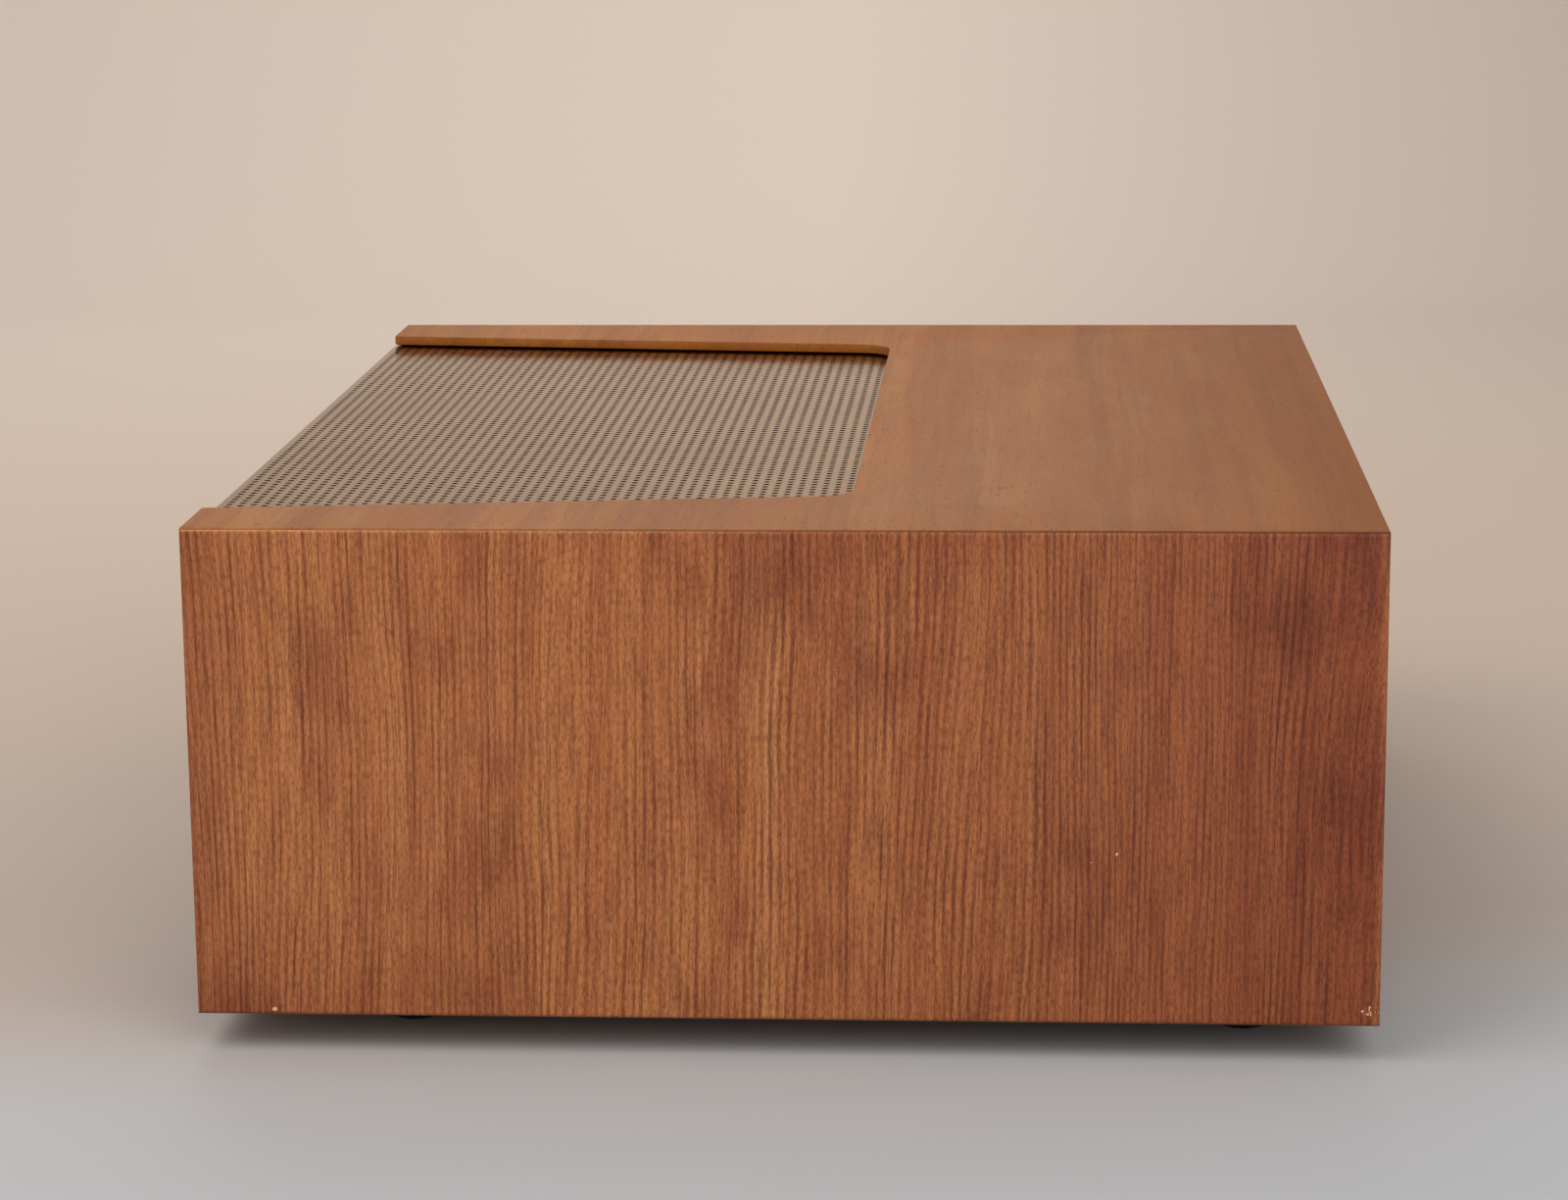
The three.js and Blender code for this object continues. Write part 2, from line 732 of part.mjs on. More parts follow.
function zInlet() {
  return zFloor + inletCentreHeight;
}

function makeMainsInlet() {
  const z = zInlet();
  const flangeHalf = inletWidth / 2 + inletFlange;
  const flangeFront = rearFace + touchGap;
  const mouth = flangeFront + inletFlangeThickness;
  const flange = block(
    [inletCentreX - flangeHalf, flangeFront, z - inletHeight / 2],
    [inletCentreX + flangeHalf, mouth, z + inletHeight / 2],
  );
  const housing = block(
    [inletCentreX - inletWidth / 2, mouth - inletHousingDepth, z - inletHeight / 2],
    [inletCentreX + inletWidth / 2, mouth, z + inletHeight / 2],
  );
  const cavity = block(
    [inletCentreX - inletCavityWidth / 2, mouth - inletCavityDepth, z - inletCavityHeight / 2],
    [inletCentreX + inletCavityWidth / 2, mouth + 1, z + inletCavityHeight / 2],
  );
  const pinBack = mouth - inletCavityDepth - 1;
  const pinAt = (x, height) =>
    block(
      [inletCentreX + x - inletPinWidth / 2, pinBack, z + height - inletPinHeight / 2],
      [inletCentreX + x + inletPinWidth / 2, pinBack + 1 + inletPinLength, z + height + inletPinHeight / 2],
    );
  const pins = [pinAt(-inletPinSpread, -2), pinAt(0, 2), pinAt(inletPinSpread, -2)];
  addPart("mains_inlet", joined([cut(flange.add(housing), [cavity]), ...pins]), finishes.moulding);
}

function makeFuse() {
  const z = zFloor + fuseHeight;
  const flangeFront = rearFace + touchGap;
  const flangeBack = flangeFront + fuseFlangeThickness;
  const plugBore = fusePlugRadius + boreClearance;
  const holder = turned([
    [0, rearInner - fuseBodyDepth],
    [fuseBodyRadius, rearInner - fuseBodyDepth],
    [fuseBodyRadius, flangeFront],
    [fuseFlangeRadius, flangeFront],
    [fuseFlangeRadius, flangeBack],
    [plugBore, flangeBack],
    [plugBore, flangeBack - fusePlugDepth - 1],
    [0, flangeBack - fusePlugDepth - 1],
  ], holeSides);
  addPart("fuse_holder", holder, finishes.moulding, [fuseX, 0, z]);
  const capFront = flangeBack + touchGap;
  const cap = turned([
    [0, flangeBack - fusePlugDepth],
    [fusePlugRadius, flangeBack - fusePlugDepth],
    [fusePlugRadius, capFront],
    [fuseCapRadius, capFront],
    [fuseCapRadius, capFront + fuseCapDepth - 1],
    [fuseCapRadius - 1, capFront + fuseCapDepth],
    [0, capFront + fuseCapDepth],
  ], holeSides);
  addPart("fuse_cap", cap, finishes.moulding, [fuseX, 0, z]);
}

function makeTransformer() {
  const low = trayTop + touchGap;
  const at = (width, depth, zLow, zHigh) =>
    block(
      [transformerX - width / 2, transformerY - depth / 2, zLow],
      [transformerX + width / 2, transformerY + depth / 2, zHigh],
    );
  const middle = low + transformerFoot + coreHeight / 2;
  const foot = at(coreWidth, transformerFootDepth, low, low + transformerFoot);
  const core = at(coreWidth, coreDepth, low, low + transformerFoot + coreHeight);
  const coil = at(coilWidth, coilDepth, middle - coilHeight / 2, middle + coilHeight / 2);
  addPart("power_transformer", joined([foot, core, coil]), finishes.platedSteel);
}

function makeCapacitors() {
  const low = trayTop + touchGap;
  const can = upright([
    [0, low],
    [canRadius, low],
    [canRadius, low + canHeight - canBead],
    [canRadius - canBead, low + canHeight],
    [0, low + canHeight],
  ], holeSides);
  addPart("smoothing_capacitor_front", can, finishes.platedSteel, [canX, rearCanY - canSpacing, 0]);
  addPart("smoothing_capacitor_rear", can, finishes.platedSteel, [canX, rearCanY, 0]);
}

function makeHeatSink(name, y) {
  const low = trayTop + touchGap;
  const high = low + sinkHeight;
  const left = sinkX - sinkWidth / 2;
  const front = y - sinkDepth / 2;
  const pieces = [block([left, front, low], [left + sinkWidth, front + sinkBase, high])];
  for (let index = 0; index < finCount; index += 1) {
    const x = left + ((sinkWidth - finThickness) * index) / (finCount - 1);
    pieces.push(block([x, front, low], [x + finThickness, front + sinkDepth, high]));
  }
  addPart(`heat_sink_${name}`, joined(pieces), finishes.blackAluminium);
}

// A circuit board on four posts.
function makeBoard(name, x, y, width, depth) {
  const low = trayTop + touchGap;
  const underside = low + boardStand;
  const halfX = width / 2;
  const halfY = depth / 2;
  const top = underside + boardThickness;
  const pieces = [block([x - halfX, y - halfY, underside], [x + halfX, y + halfY, top])];
  for (const signX of [-1, 1]) {
    for (const signY of [-1, 1]) {
      const postX = x + signX * (halfX - boardPostSize);
      const postY = y + signY * (halfY - boardPostSize);
      pieces.push(
        block(
          [postX - boardPostSize / 2, postY - boardPostSize / 2, low],
          [postX + boardPostSize / 2, postY + boardPostSize / 2, underside + boardThickness / 2],
        ),
      );
    }
  }
  addPart(name, joined(pieces), finishes.circuitBoard);
}

makeSleeve();
makeFeet();
makeVentCover();
makeFrontPanel();
makeChassis();
rotaryControls.forEach(makeRotaryControl);
leverSwitches.forEach(makeLeverSwitch);
makePowerSwitch();
makePilotLamp();
makeHeadphoneJack();
makeInputJacks();
makeSpeakerTerminals();
makeMainsInlet();
makeFuse();
makeTransformer();
makeCapacitors();
makeHeatSink("left_channel", leftSinkY);
makeHeatSink("right_channel", rightSinkY);
makeBoard("power_amplifier_board", sinkX, (leftSinkY + rightSinkY) / 2, powerBoardWidth, powerBoardDepth);
makeBoard("tone_control_board", 0, toneBoardRear - toneBoardDepth / 2, toneBoardWidth, toneBoardDepth);

export default amplifier;
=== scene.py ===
# An integrated amplifier in a mitred wooden sleeve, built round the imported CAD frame.
import math

import bmesh
import bpy
from mathutils import Matrix, Vector


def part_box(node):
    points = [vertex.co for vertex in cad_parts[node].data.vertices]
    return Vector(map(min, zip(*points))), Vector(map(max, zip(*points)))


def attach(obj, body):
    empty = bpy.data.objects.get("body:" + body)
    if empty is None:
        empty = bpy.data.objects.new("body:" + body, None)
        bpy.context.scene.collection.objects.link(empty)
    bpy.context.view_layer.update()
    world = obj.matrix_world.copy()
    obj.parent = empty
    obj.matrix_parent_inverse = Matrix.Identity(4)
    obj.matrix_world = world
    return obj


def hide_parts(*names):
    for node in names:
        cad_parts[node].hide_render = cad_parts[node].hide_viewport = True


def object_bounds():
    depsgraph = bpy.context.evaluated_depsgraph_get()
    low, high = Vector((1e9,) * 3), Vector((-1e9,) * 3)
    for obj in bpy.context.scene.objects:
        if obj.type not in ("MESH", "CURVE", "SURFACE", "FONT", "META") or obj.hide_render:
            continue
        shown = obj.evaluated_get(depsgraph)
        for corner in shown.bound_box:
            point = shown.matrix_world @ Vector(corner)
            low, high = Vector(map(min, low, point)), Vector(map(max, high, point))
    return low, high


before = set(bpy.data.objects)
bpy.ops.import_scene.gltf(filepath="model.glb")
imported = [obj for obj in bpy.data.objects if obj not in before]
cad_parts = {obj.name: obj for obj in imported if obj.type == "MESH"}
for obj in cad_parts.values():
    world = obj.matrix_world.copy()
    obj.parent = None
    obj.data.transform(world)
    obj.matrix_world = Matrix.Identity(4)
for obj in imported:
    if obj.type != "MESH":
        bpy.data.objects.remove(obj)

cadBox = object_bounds()
mm = 0.001


# Small helpers

def linearColour(hexText):
    # an sRGB hex value as the linear colour that the shaders use
    values = []
    for start in (0, 2, 4):
        value = int(hexText[start:start + 2], 16) / 255
        values.append(value / 12.92 if value <= 0.04045 else ((value + 0.055) / 1.055) ** 2.4)
    return (*values, 1.0)


def addNode(tree, kind, *values, output=0, ramp=None, **settings):
    # one node: its inputs are values or sockets in order, or one dictionary of them; one output comes back
    families = ["ShaderNode"] if tree.type == "SHADER" else ["GeometryNode", "FunctionNode", "ShaderNode"]
    family = next(family for family in families if hasattr(bpy.types, family + kind))
    node = tree.nodes.new(family + kind)
    for name, value in settings.items():
        setattr(node, name, value)
    inputs = values[0] if values and isinstance(values[0], dict) else dict(enumerate(values))
    for name, value in inputs.items():
        if isinstance(value, (bpy.types.NodeSocket, list)):
            for socket in value if isinstance(value, list) else [value]:
                tree.links.new(socket, node.inputs[name])
        else:
            node.inputs[name].default_value = value
    for index, (place, colour) in enumerate(ramp or []):
        elements = node.color_ramp.elements
        element = elements[index] if index < len(elements) else elements.new(place)
        element.position = place
        element.color = linearColour(colour) if isinstance(colour, str) else (colour, colour, colour, 1.0)
    return node.outputs[output]


def newMaterial(name, **values):
    # a material, its tree and its shader, with the shader's own values set
    material = bpy.data.materials.new(name)
    material.use_nodes = True
    shader = material.node_tree.nodes["Principled BSDF"]
    for key, value in values.items():
        shader.inputs[key.replace("_", " ")].default_value = value
    return material, material.node_tree, shader


def joinShader(tree, shader, height=None, relief=0.00003, strength=0.5, **sockets):
    # link patterns to the shader, with the height pattern as its bump
    for key, socket in sockets.items():
        tree.links.new(socket, shader.inputs[key.replace("_", " ")])
    if height is not None:
        bump = addNode(tree, "Bump", {"Height": height, "Distance": relief, "Strength": strength})
        tree.links.new(bump, shader.inputs["Normal"])


def patternOf(tree, place, cell, detail=2.0, roughness=0.5):
    # a cloudy pattern on a place in millimetres, whose cells have the given size along each axis
    sizes = cell if isinstance(cell, tuple) else (cell, cell, cell)
    scaled = addNode(tree, "Mapping", {"Vector": place, "Scale": tuple(1 / size for size in sizes)})
    sockets = {"Vector": scaled, "Scale": 1.0, "Detail": detail, "Roughness": roughness}
    return addNode(tree, "TexNoise", sockets)


def millimetres(tree):
    place = addNode(tree, "TexCoord", output="Object")
    return addNode(tree, "Mapping", {"Vector": place, "Scale": (1000.0, 1000.0, 1000.0)})


def axesOf(tree, place):
    # the three parts of a place, by the names of their axes
    split = tree.nodes.new("ShaderNodeSeparateXYZ")
    tree.links.new(place, split.inputs[0])
    return split.outputs

def grainPlace(tree, along, across, depth, bends):
    # a place in millimetres whose second axis runs with the grain, bent sideways by each of the bends
    axes = axesOf(tree, millimetres(tree))
    place = addNode(tree, "CombineXYZ", axes[across], axes[along], axes[depth])
    for width, length, amount in bends:
        sway = patternOf(tree, place, (width, length, width), 1.0)
        shift = addNode(tree, "MapRange", sway, 0.2, 0.8, -amount, amount)
        place = addNode(tree, "VectorMath", place, addNode(tree, "CombineXYZ", shift), operation="ADD")
    return place, axes

def meshFrom(name, work):
    mesh = bpy.data.meshes.new(name)
    work.to_mesh(mesh)
    work.free()
    return mesh


def newPiece(name, mesh, material=None):
    piece = bpy.data.objects.new(name, mesh)
    bpy.context.scene.collection.objects.link(piece)
    if material:
        mesh.materials.clear()
        mesh.materials.append(material)
    return piece


def smoothByAngle(mesh, degrees=32.0):
    work = bmesh.new()
    work.from_mesh(mesh)
    for face in work.faces:
        face.smooth = True
    for edge in work.edges:
        edge.smooth = len(edge.link_faces) == 2 and edge.calc_face_angle(0.0) < math.radians(degrees)
    work.to_mesh(mesh)
    work.free()


def applied(piece):
    # the evaluated shape becomes the piece's plain mesh, and its modifiers go
    evaluated = piece.evaluated_get(bpy.context.evaluated_depsgraph_get())
    mesh = bpy.data.meshes.new_from_object(evaluated)
    piece.modifiers.clear()
    old = piece.data
    piece.data = mesh
    bpy.data.meshes.remove(old)
    return piece


def closeBetween(work, rings):
    # ends and sides between two rings of corners
    for ring in rings:
        work.faces.new(ring)
    for index in range(len(rings[0])):
        after = (index + 1) % len(rings[0])
        work.faces.new((rings[0][index], rings[0][after], rings[1][after], rings[1][index]))
    bmesh.ops.recalc_face_normals(work, faces=work.faces)

def outlineSolid(name, points, low, high, axis):
    # a closed outline drawn out from low to high: (x, y) points along z, or (x, z) points along y
    work = bmesh.new()
    rings = []
    for level in (low, high):
        rings.append([work.verts.new((x, v, level) if axis == "z" else (x, level, v)) for x, v in points])
    closeBetween(work, rings)
    return meshFrom(name, work)


def rounded(points, radius, steps=3, closed=False):
    # a profile with its corners rounded
    out = [] if closed else [points[0]]
    count = len(points)
    for index in range(count) if closed else range(1, count - 1):
        here = Vector(points[index])
        toBefore = Vector(points[index - 1]) - here
        toAfter = Vector(points[(index + 1) % count]) - here
        reach = min(radius, toBefore.length * 0.45, toAfter.length * 0.45)
        start = here + toBefore.normalized() * reach
        end = here + toAfter.normalized() * reach
        for step in range(steps + 1):
            t = step / steps
            out.append(tuple(start * (1 - t) ** 2 + here * 2 * t * (1 - t) + end * t * t))
    return out if closed else out + [points[-1]]


def turnedMesh(name, profile, segments, closed=False, flutes=None):
    # (radius, height) points in millimetres turned about Z; flutes press a wave into a span of heights
    work = bmesh.new()
    layer = work.loops.layers.uv.new("turned")
    rings = []
    for radius, height in profile:
        ring = []
        for index in range(segments if radius > 1e-6 else 1):
            angle = 2 * math.pi * index / segments
            reach = radius
            if flutes and flutes["from"] <= height <= flutes["to"]:
                reach -= flutes["depth"] * (0.5 + 0.5 * math.cos(angle * flutes["count"])) ** 2
            x, y = reach * math.cos(angle) * mm, reach * math.sin(angle) * mm
            ring.append(work.verts.new((x, y, height * mm)))
        rings.append(ring)
    lengths = [0.0]
    for before, after in zip(profile, profile[1:] + profile[:1]):
        lengths.append(lengths[-1] + math.dist(before, after))
    pairs = len(profile) if closed else len(profile) - 1
    for band in range(pairs):
        lower, upper = rings[band], rings[(band + 1) % len(rings)]
        for index in range(segments):
            after = (index + 1) % segments
            corners = []
            steps = ((lower, index, 0, 0), (lower, after, 1, 0), (upper, after, 1, 1), (upper, index, 0, 1))
            for ring, at, turn, rise in steps:
                vertex = ring[at % len(ring)]
                if all(vertex is not other[0] for other in corners):
                    corners.append((vertex, (index + turn) / segments, lengths[band + rise]))
            if len(corners) > 2:
                face = work.faces.new([corner[0] for corner in corners])
                for loop, corner in zip(face.loops, corners):
                    loop[layer].uv = corner[1:]
    bmesh.ops.recalc_face_normals(work, faces=work.faces)
    mesh = meshFrom(name, work)
    smoothByAngle(mesh)
    return mesh


def prism(name, sides, radius, low, high, bevel=0.3, bore=0.0):
    # a nut or a disc with straight sides about Z, in millimetres, its edges bevelled
    work = bmesh.new()
    turns = [2 * math.pi * (index + 0.5) / sides for index in range(sides)]
    rings = [
        [work.verts.new((radius * math.cos(a) * mm, radius * math.sin(a) * mm, level * mm)) for a in turns]
        for level in (low, high)
    ]
    closeBetween(work, rings)
    bmesh.ops.bevel(work, geom=list(work.edges), offset=bevel * mm, segments=2, profile=0.5, affect="EDGES")
    mesh = meshFrom(name, work)
    if bore:
        tool = turnedMesh("bore", [(0, low - 1), (bore, low - 1), (bore, high + 1), (0, high + 1)], 24)
        mesh = cutAway(mesh, tool)
    smoothByAngle(mesh)
    return mesh


def boxMesh(name, low, high, bevel=0.0, segments=2):
    # a block between two corners in metres, its edges rounded
    work = bmesh.new()
    bmesh.ops.create_cube(work, size=1.0)
    size = Vector(high) - Vector(low)
    middle = (Vector(high) + Vector(low)) / 2
    fitted = Matrix.Translation(middle) @ Matrix.Diagonal((*size, 1))
    bmesh.ops.transform(work, matrix=fitted, verts=work.verts)
    if bevel:
        edges = list(work.edges)
        bmesh.ops.bevel(work, geom=edges, offset=bevel, segments=segments, profile=0.5, affect="EDGES")
    mesh = meshFrom(name, work)
    smoothByAngle(mesh, 50)
    return mesh


def cutAway(mesh, toolMesh):
    # a mesh with a tool's shape taken out
    piece = newPiece("workPiece", mesh)
    tool = newPiece("cuttingTool", toolMesh)
    modifier = piece.modifiers.new("cut", "BOOLEAN")
    modifier.operation = "DIFFERENCE"
    modifier.solver = "EXACT"
    modifier.object = tool
    result = applied(piece).data
    bpy.data.objects.remove(tool)
    bpy.data.objects.remove(piece)
    return result


def moved(mesh, matrix):
    mesh.transform(matrix)
    return mesh


def joined(name, meshes, materials):
    # several meshes as one piece, the first mesh with the first material and so on
    work = bmesh.new()
    kinds = []
    for mesh, material in zip(meshes, materials):
        if material not in kinds:
            kinds.append(material)
        before = len(work.faces)
        work.from_mesh(mesh)
        work.faces.ensure_lookup_table()
        for face in work.faces[before:]:
            face.material_index = kinds.index(material)
    mesh = meshFrom(name, work)
    for material in kinds:
        mesh.materials.append(material)
    return newPiece(name, mesh)


def settle(piece, body, slot, *nodes):
    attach(piece, body)
    if nodes:
        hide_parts(*nodes)
    return piece


def centreOf(node):
    low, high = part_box(node)
    return (low + high) / 2


# turns from straight up to each way that a part can face
facingFront = Matrix.Rotation(math.pi / 2, 4, "X")
facingRear = Matrix.Rotation(-math.pi / 2, 4, "X")
facingDown = Matrix.Rotation(math.pi, 4, "X")
anyTurn = 6.28  # radians, for screws that stop where they like

def onFront(node, y):
    # from a part drawn upright to its place in the front, its foot at y
    centre = centreOf(node)
    return Matrix.Translation(Vector((centre.x, y, centre.z))) @ facingFront


# Camera, lights and floor

cameraValues = {
    "place": (-1221.6, -68.6, 343.7),  # millimetres in the object's frame
    "heading": 3.734,  # degrees from +X towards +Y
    "tilt": 11.913,  # degrees below level
    "roll": 0.517,
    "focalLength": 90.64,
    "sensorWidth": 36.0,
}


def makeCamera(values):
    heading, tilt, roll = (math.radians(values[key]) for key in ("heading", "tilt", "roll"))
    reach = math.cos(tilt)
    forward = Vector((math.cos(heading) * reach, math.sin(heading) * reach, -math.sin(tilt)))
    level = forward.cross(Vector((0, 0, 1))).normalized()
    right = level * math.cos(roll) - level.cross(forward) * math.sin(roll)
    up = right.cross(forward)
    data = bpy.data.cameras.new("camera")
    data.lens = values["focalLength"]
    data.sensor_width = values["sensorWidth"]
    data.clip_start = 0.02
    camera = bpy.data.objects.new("camera", data)
    bpy.context.scene.collection.objects.link(camera)
    turn = Matrix((right, up, -forward)).transposed().to_4x4()
    camera.matrix_world = Matrix.Translation(Vector(values["place"]) * mm) @ turn
    bpy.context.scene.camera = camera


lighting = {
    "worldColour": "F2EEEA",
    "worldStrength": 0.67,
    "softboxes": [
        # name, place, size, watts, colour
        ("keySoftbox", (-0.9, 1.3, 2.1), 1.7, 20.0, "FFF8F0"),
        ("fillSoftbox", (-1.9, -1.2, 1.3), 1.9, 19.0, "FFF6EE"),
        ("backSoftbox", (1.6, 0.3, 1.7), 1.4, 10.0, "FFF6EE"),
    ],
}


def makeLights(values):
    world = bpy.data.worlds.new("studio")
    bpy.context.scene.world = world
    world.use_nodes = True
    background = world.node_tree.nodes["Background"]
    background.inputs["Color"].default_value = linearColour(values["worldColour"])
    background.inputs["Strength"].default_value = values["worldStrength"]
    for name, place, size, power, colour in values["softboxes"]:
        data = bpy.data.lights.new(name, "AREA")
        data.shape = "SQUARE"
        data.size = size
        data.energy = power
        data.color = linearColour(colour)[:3]
        light = bpy.data.objects.new(name, data)
        bpy.context.scene.collection.objects.link(light)
        light.location = place
        light.rotation_euler = (Vector((0, 0, 0.07)) - Vector(place)).to_track_quat("-Z", "Y").to_euler()


stageValues = {
    "halfWidth": 6.0,  # metres
    "near": 6.0,
    "far": 1.3,  # where the floor starts to curve up behind the object
    "curveRadius": 0.8,
    "wallHeight": 3.0,
    "colours": [(0.0, "BBC0C6"), (0.055, "BBBEC2"), (0.12, "BAAFA8"), (0.42, "C8B8AA"), (1.0, "DCD0C6")],
    "toneSpan": (-290.0, 1300.0),  # millimetres from the camera's side to the wall
    "sideSpan": (-750.0, 750.0),
    "shadeSpan": (300.0, 1300.0),
    "slant": 0.25,  # how much further back the cool part of the floor reaches in front of the object
    "falloff": [(0.1, 0.7), (0.55, 1.0), (0.95, 0.88)],
}


def makeStage(values):
    # a floor that curves up into a backdrop
    radius = values["curveRadius"]
    points = [(-values["near"], 0.0), (values["far"], 0.0)]
    for step in range(1, 25):
        angle = math.pi / 2 * step / 24
        points.append((values["far"] + radius * math.sin(angle), radius * (1 - math.cos(angle))))
    points.append((points[-1][0], values["wallHeight"]))
    work = bmesh.new()
    half = values["halfWidth"]
    rows = [[work.verts.new((x, side, z)) for x, z in points] for side in (-half, half)]
    for index in range(len(points) - 1):
        work.faces.new((rows[0][index], rows[0][index + 1], rows[1][index + 1], rows[1][index]))
    floor = newPiece("studioFloor", meshFrom("studioFloor", work))
    for polygon in floor.data.polygons:
        polygon.use_smooth = True
    # matt paper, warmer towards the wall, and darker to each side where the light falls off
    material, tree, shader = newMaterial("matt paper sweep", Roughness=0.9)
    axes = axesOf(tree, millimetres(tree))
    slant = addNode(tree, "Math", axes["Y"], values["slant"], operation="MULTIPLY")
    along = addNode(tree, "Math", axes["X"], slant, operation="ADD")
    away = addNode(tree, "MapRange", along, *values["toneSpan"])
    colour = addNode(tree, "ValToRGB", away, ramp=values["colours"])
    fall = addNode(tree, "MapRange", axes["Y"], *values["sideSpan"])
    side = addNode(tree, "ValToRGB", fall, ramp=values["falloff"])
    atWall = addNode(tree, "MapRange", axes["X"], *values["shadeSpan"])
    sockets = {0: atWall, 6: colour, 7: side}
    shaded = addNode(tree, "Mix", sockets, output=2, data_type="RGBA", blend_type="MULTIPLY")
    joinShader(tree, shader, Base_Color=shaded)
    floor.data.materials.append(material)


makeCamera(cameraValues)
makeLights(lighting)
makeStage(stageValues)
bpy.context.scene.view_settings.view_transform = "Standard"
print("camera, lights and floor are in place")


# Materials

def layered(tree, ground, layers, blend="MIX"):
    # lay colours over a ground one after the other, each as strongly as its own amount says
    for amount, colour in layers:
        sockets = {0: amount, 6: ground, 7: linearColour(colour)}
        ground = addNode(tree, "Mix", sockets, output=2, data_type="RGBA", blend_type=blend)
    return ground


sideGrain = {
    "ground": [(0.34, "BB7140"), (0.52, "C77F49"), (0.68, "D08B54")],
    "line": "6E3118",
    "glint": "D9A06A",  # painted highlight on the fibres between the pores, where they catch the light
    "stain": "AF736E",  # the tint where the stain is deepest
    "bare": "E2C08C",  # wood under a chip in the lacquer
    "pale": "D6A478",  # painted highlight on the top arris
    "lineSpacing": 2.15,  # millimetres between growth lines
    # width, length and reach of each sideways bend in the grain, millimetres
    "bends": [(110, 500, 11.0), (38, 150, 2.4), (12, 55, 0.55), (3.2, 17, 0.16)],
    # size of each pattern across, along and into the grain, millimetres
    "streaks": (11.0, 380.0, 11.0),
    "bundles": (6.5, 90.0, 6.5),  # where growth lines come and go together
    "breaks": (1.5, 26.0, 1.5),  # where a single line fades
    "fibres": (0.6, 17.0, 0.6),
    "pores": (0.5, 2.2, 0.5),
    "clouds": (26.0, 48.0, 26.0),
    "chipEdge": (0.9, 1.4, 0.9),
    "roughness": 0.5,
    # y, z and radius of the small chips and specks on the left side, millimetres
    "chips": [
        (-159.0, 13.9, 1.5), (-157.0, 14.6, 0.8), (139.0, 11.8, 0.8),
        (-2.5, 61.7, 0.4), (-83.8, 55.6, 0.35), (-90.4, 57.8, 0.4),
    ],
}


def stainOf(tree, axes):
    # how deep the stain is on a side: more to the front, at the arrises and low down at the corners
    front, rear, half = cadBox[0][1] / mm, cadBox[1][1] / mm, cadBox[1][0] / mm
    spans = {
        # axis, a place and another one in millimetres, and the depth at each
        "towardsFront": ("Y", front, front + 190, 0.8, 0.0),
        "frontArris": ("Y", front, front + 10, 0.9, 0.1),
        "rearArris": ("Y", rear - 14, rear - 1, 0.0, 0.5),
        "upper": ("Z", 96.0, 146.0, 0.0, 0.5),
        "frontHalf": ("Y", 0.0, 70.0, 1.0, 0.0),
        "lower": ("Z", 12.0, 60.0, 1.0, 0.0),
        "rearCorner": ("Y", rear - 60, rear, 0.0, 0.6),
        "frontCorner": ("Y", front, front + 70, 0.35, 0.0),
        "frontEdge": ("Y", front + 0.6, front + 3.0, 0.45, 1.0),
    }
    depth = {name: addNode(tree, "MapRange", axes[axis], *span) for name, (axis, *span) in spans.items()}
    upperFront = addNode(tree, "Math", depth["upper"], depth["frontHalf"], operation="MULTIPLY")
    corners = addNode(tree, "Math", depth["rearCorner"], depth["frontCorner"], operation="MAXIMUM")
    lowerCorners = addNode(tree, "Math", depth["lower"], corners, operation="MULTIPLY")
    stain = depth["towardsFront"]
    for other in (depth["frontArris"], depth["rearArris"], upperFront, lowerCorners):
        stain = addNode(tree, "Math", stain, other, operation="MAXIMUM")
    # it stays lighter on the board's front edge and on its inner face
    outwards = addNode(tree, "Math", axes["X"], operation="ABSOLUTE")
    outerFace = addNode(tree, "MapRange", outwards, half - 5.0, half - 0.6, 0.3, 1.0)
    lighter = addNode(tree, "Math", outerFace, depth["frontEdge"], operation="MINIMUM")
    return addNode(tree, "Math", stain, lighter, operation="MULTIPLY")


def chipsOf(tree, place, axes, values):
    # chips with ragged outlines, on the left side only
    edges = addNode(tree, "MapRange", patternOf(tree, place, values["chipEdge"]), 0.3, 0.7, -0.6, 1.0)
    flat = addNode(tree, "CombineXYZ", {1: axes["Y"], 2: axes["Z"]})
    bare = None
    for y, z, radius in values["chips"]:
        away = addNode(tree, "VectorMath", {0: flat, 1: (0.0, y, z)}, output="Value", operation="DISTANCE")
        reach = addNode(tree, "Math", edges, radius * 1.6, operation="MULTIPLY")
        chip = addNode(tree, "Math", away, reach, operation="LESS_THAN")
        bare = chip if bare is None else addNode(tree, "Math", bare, chip, operation="MAXIMUM")
    left = addNode(tree, "Math", axes["X"], 0.0, operation="LESS_THAN")
    return addNode(tree, "Math", bare, left, operation="MULTIPLY")


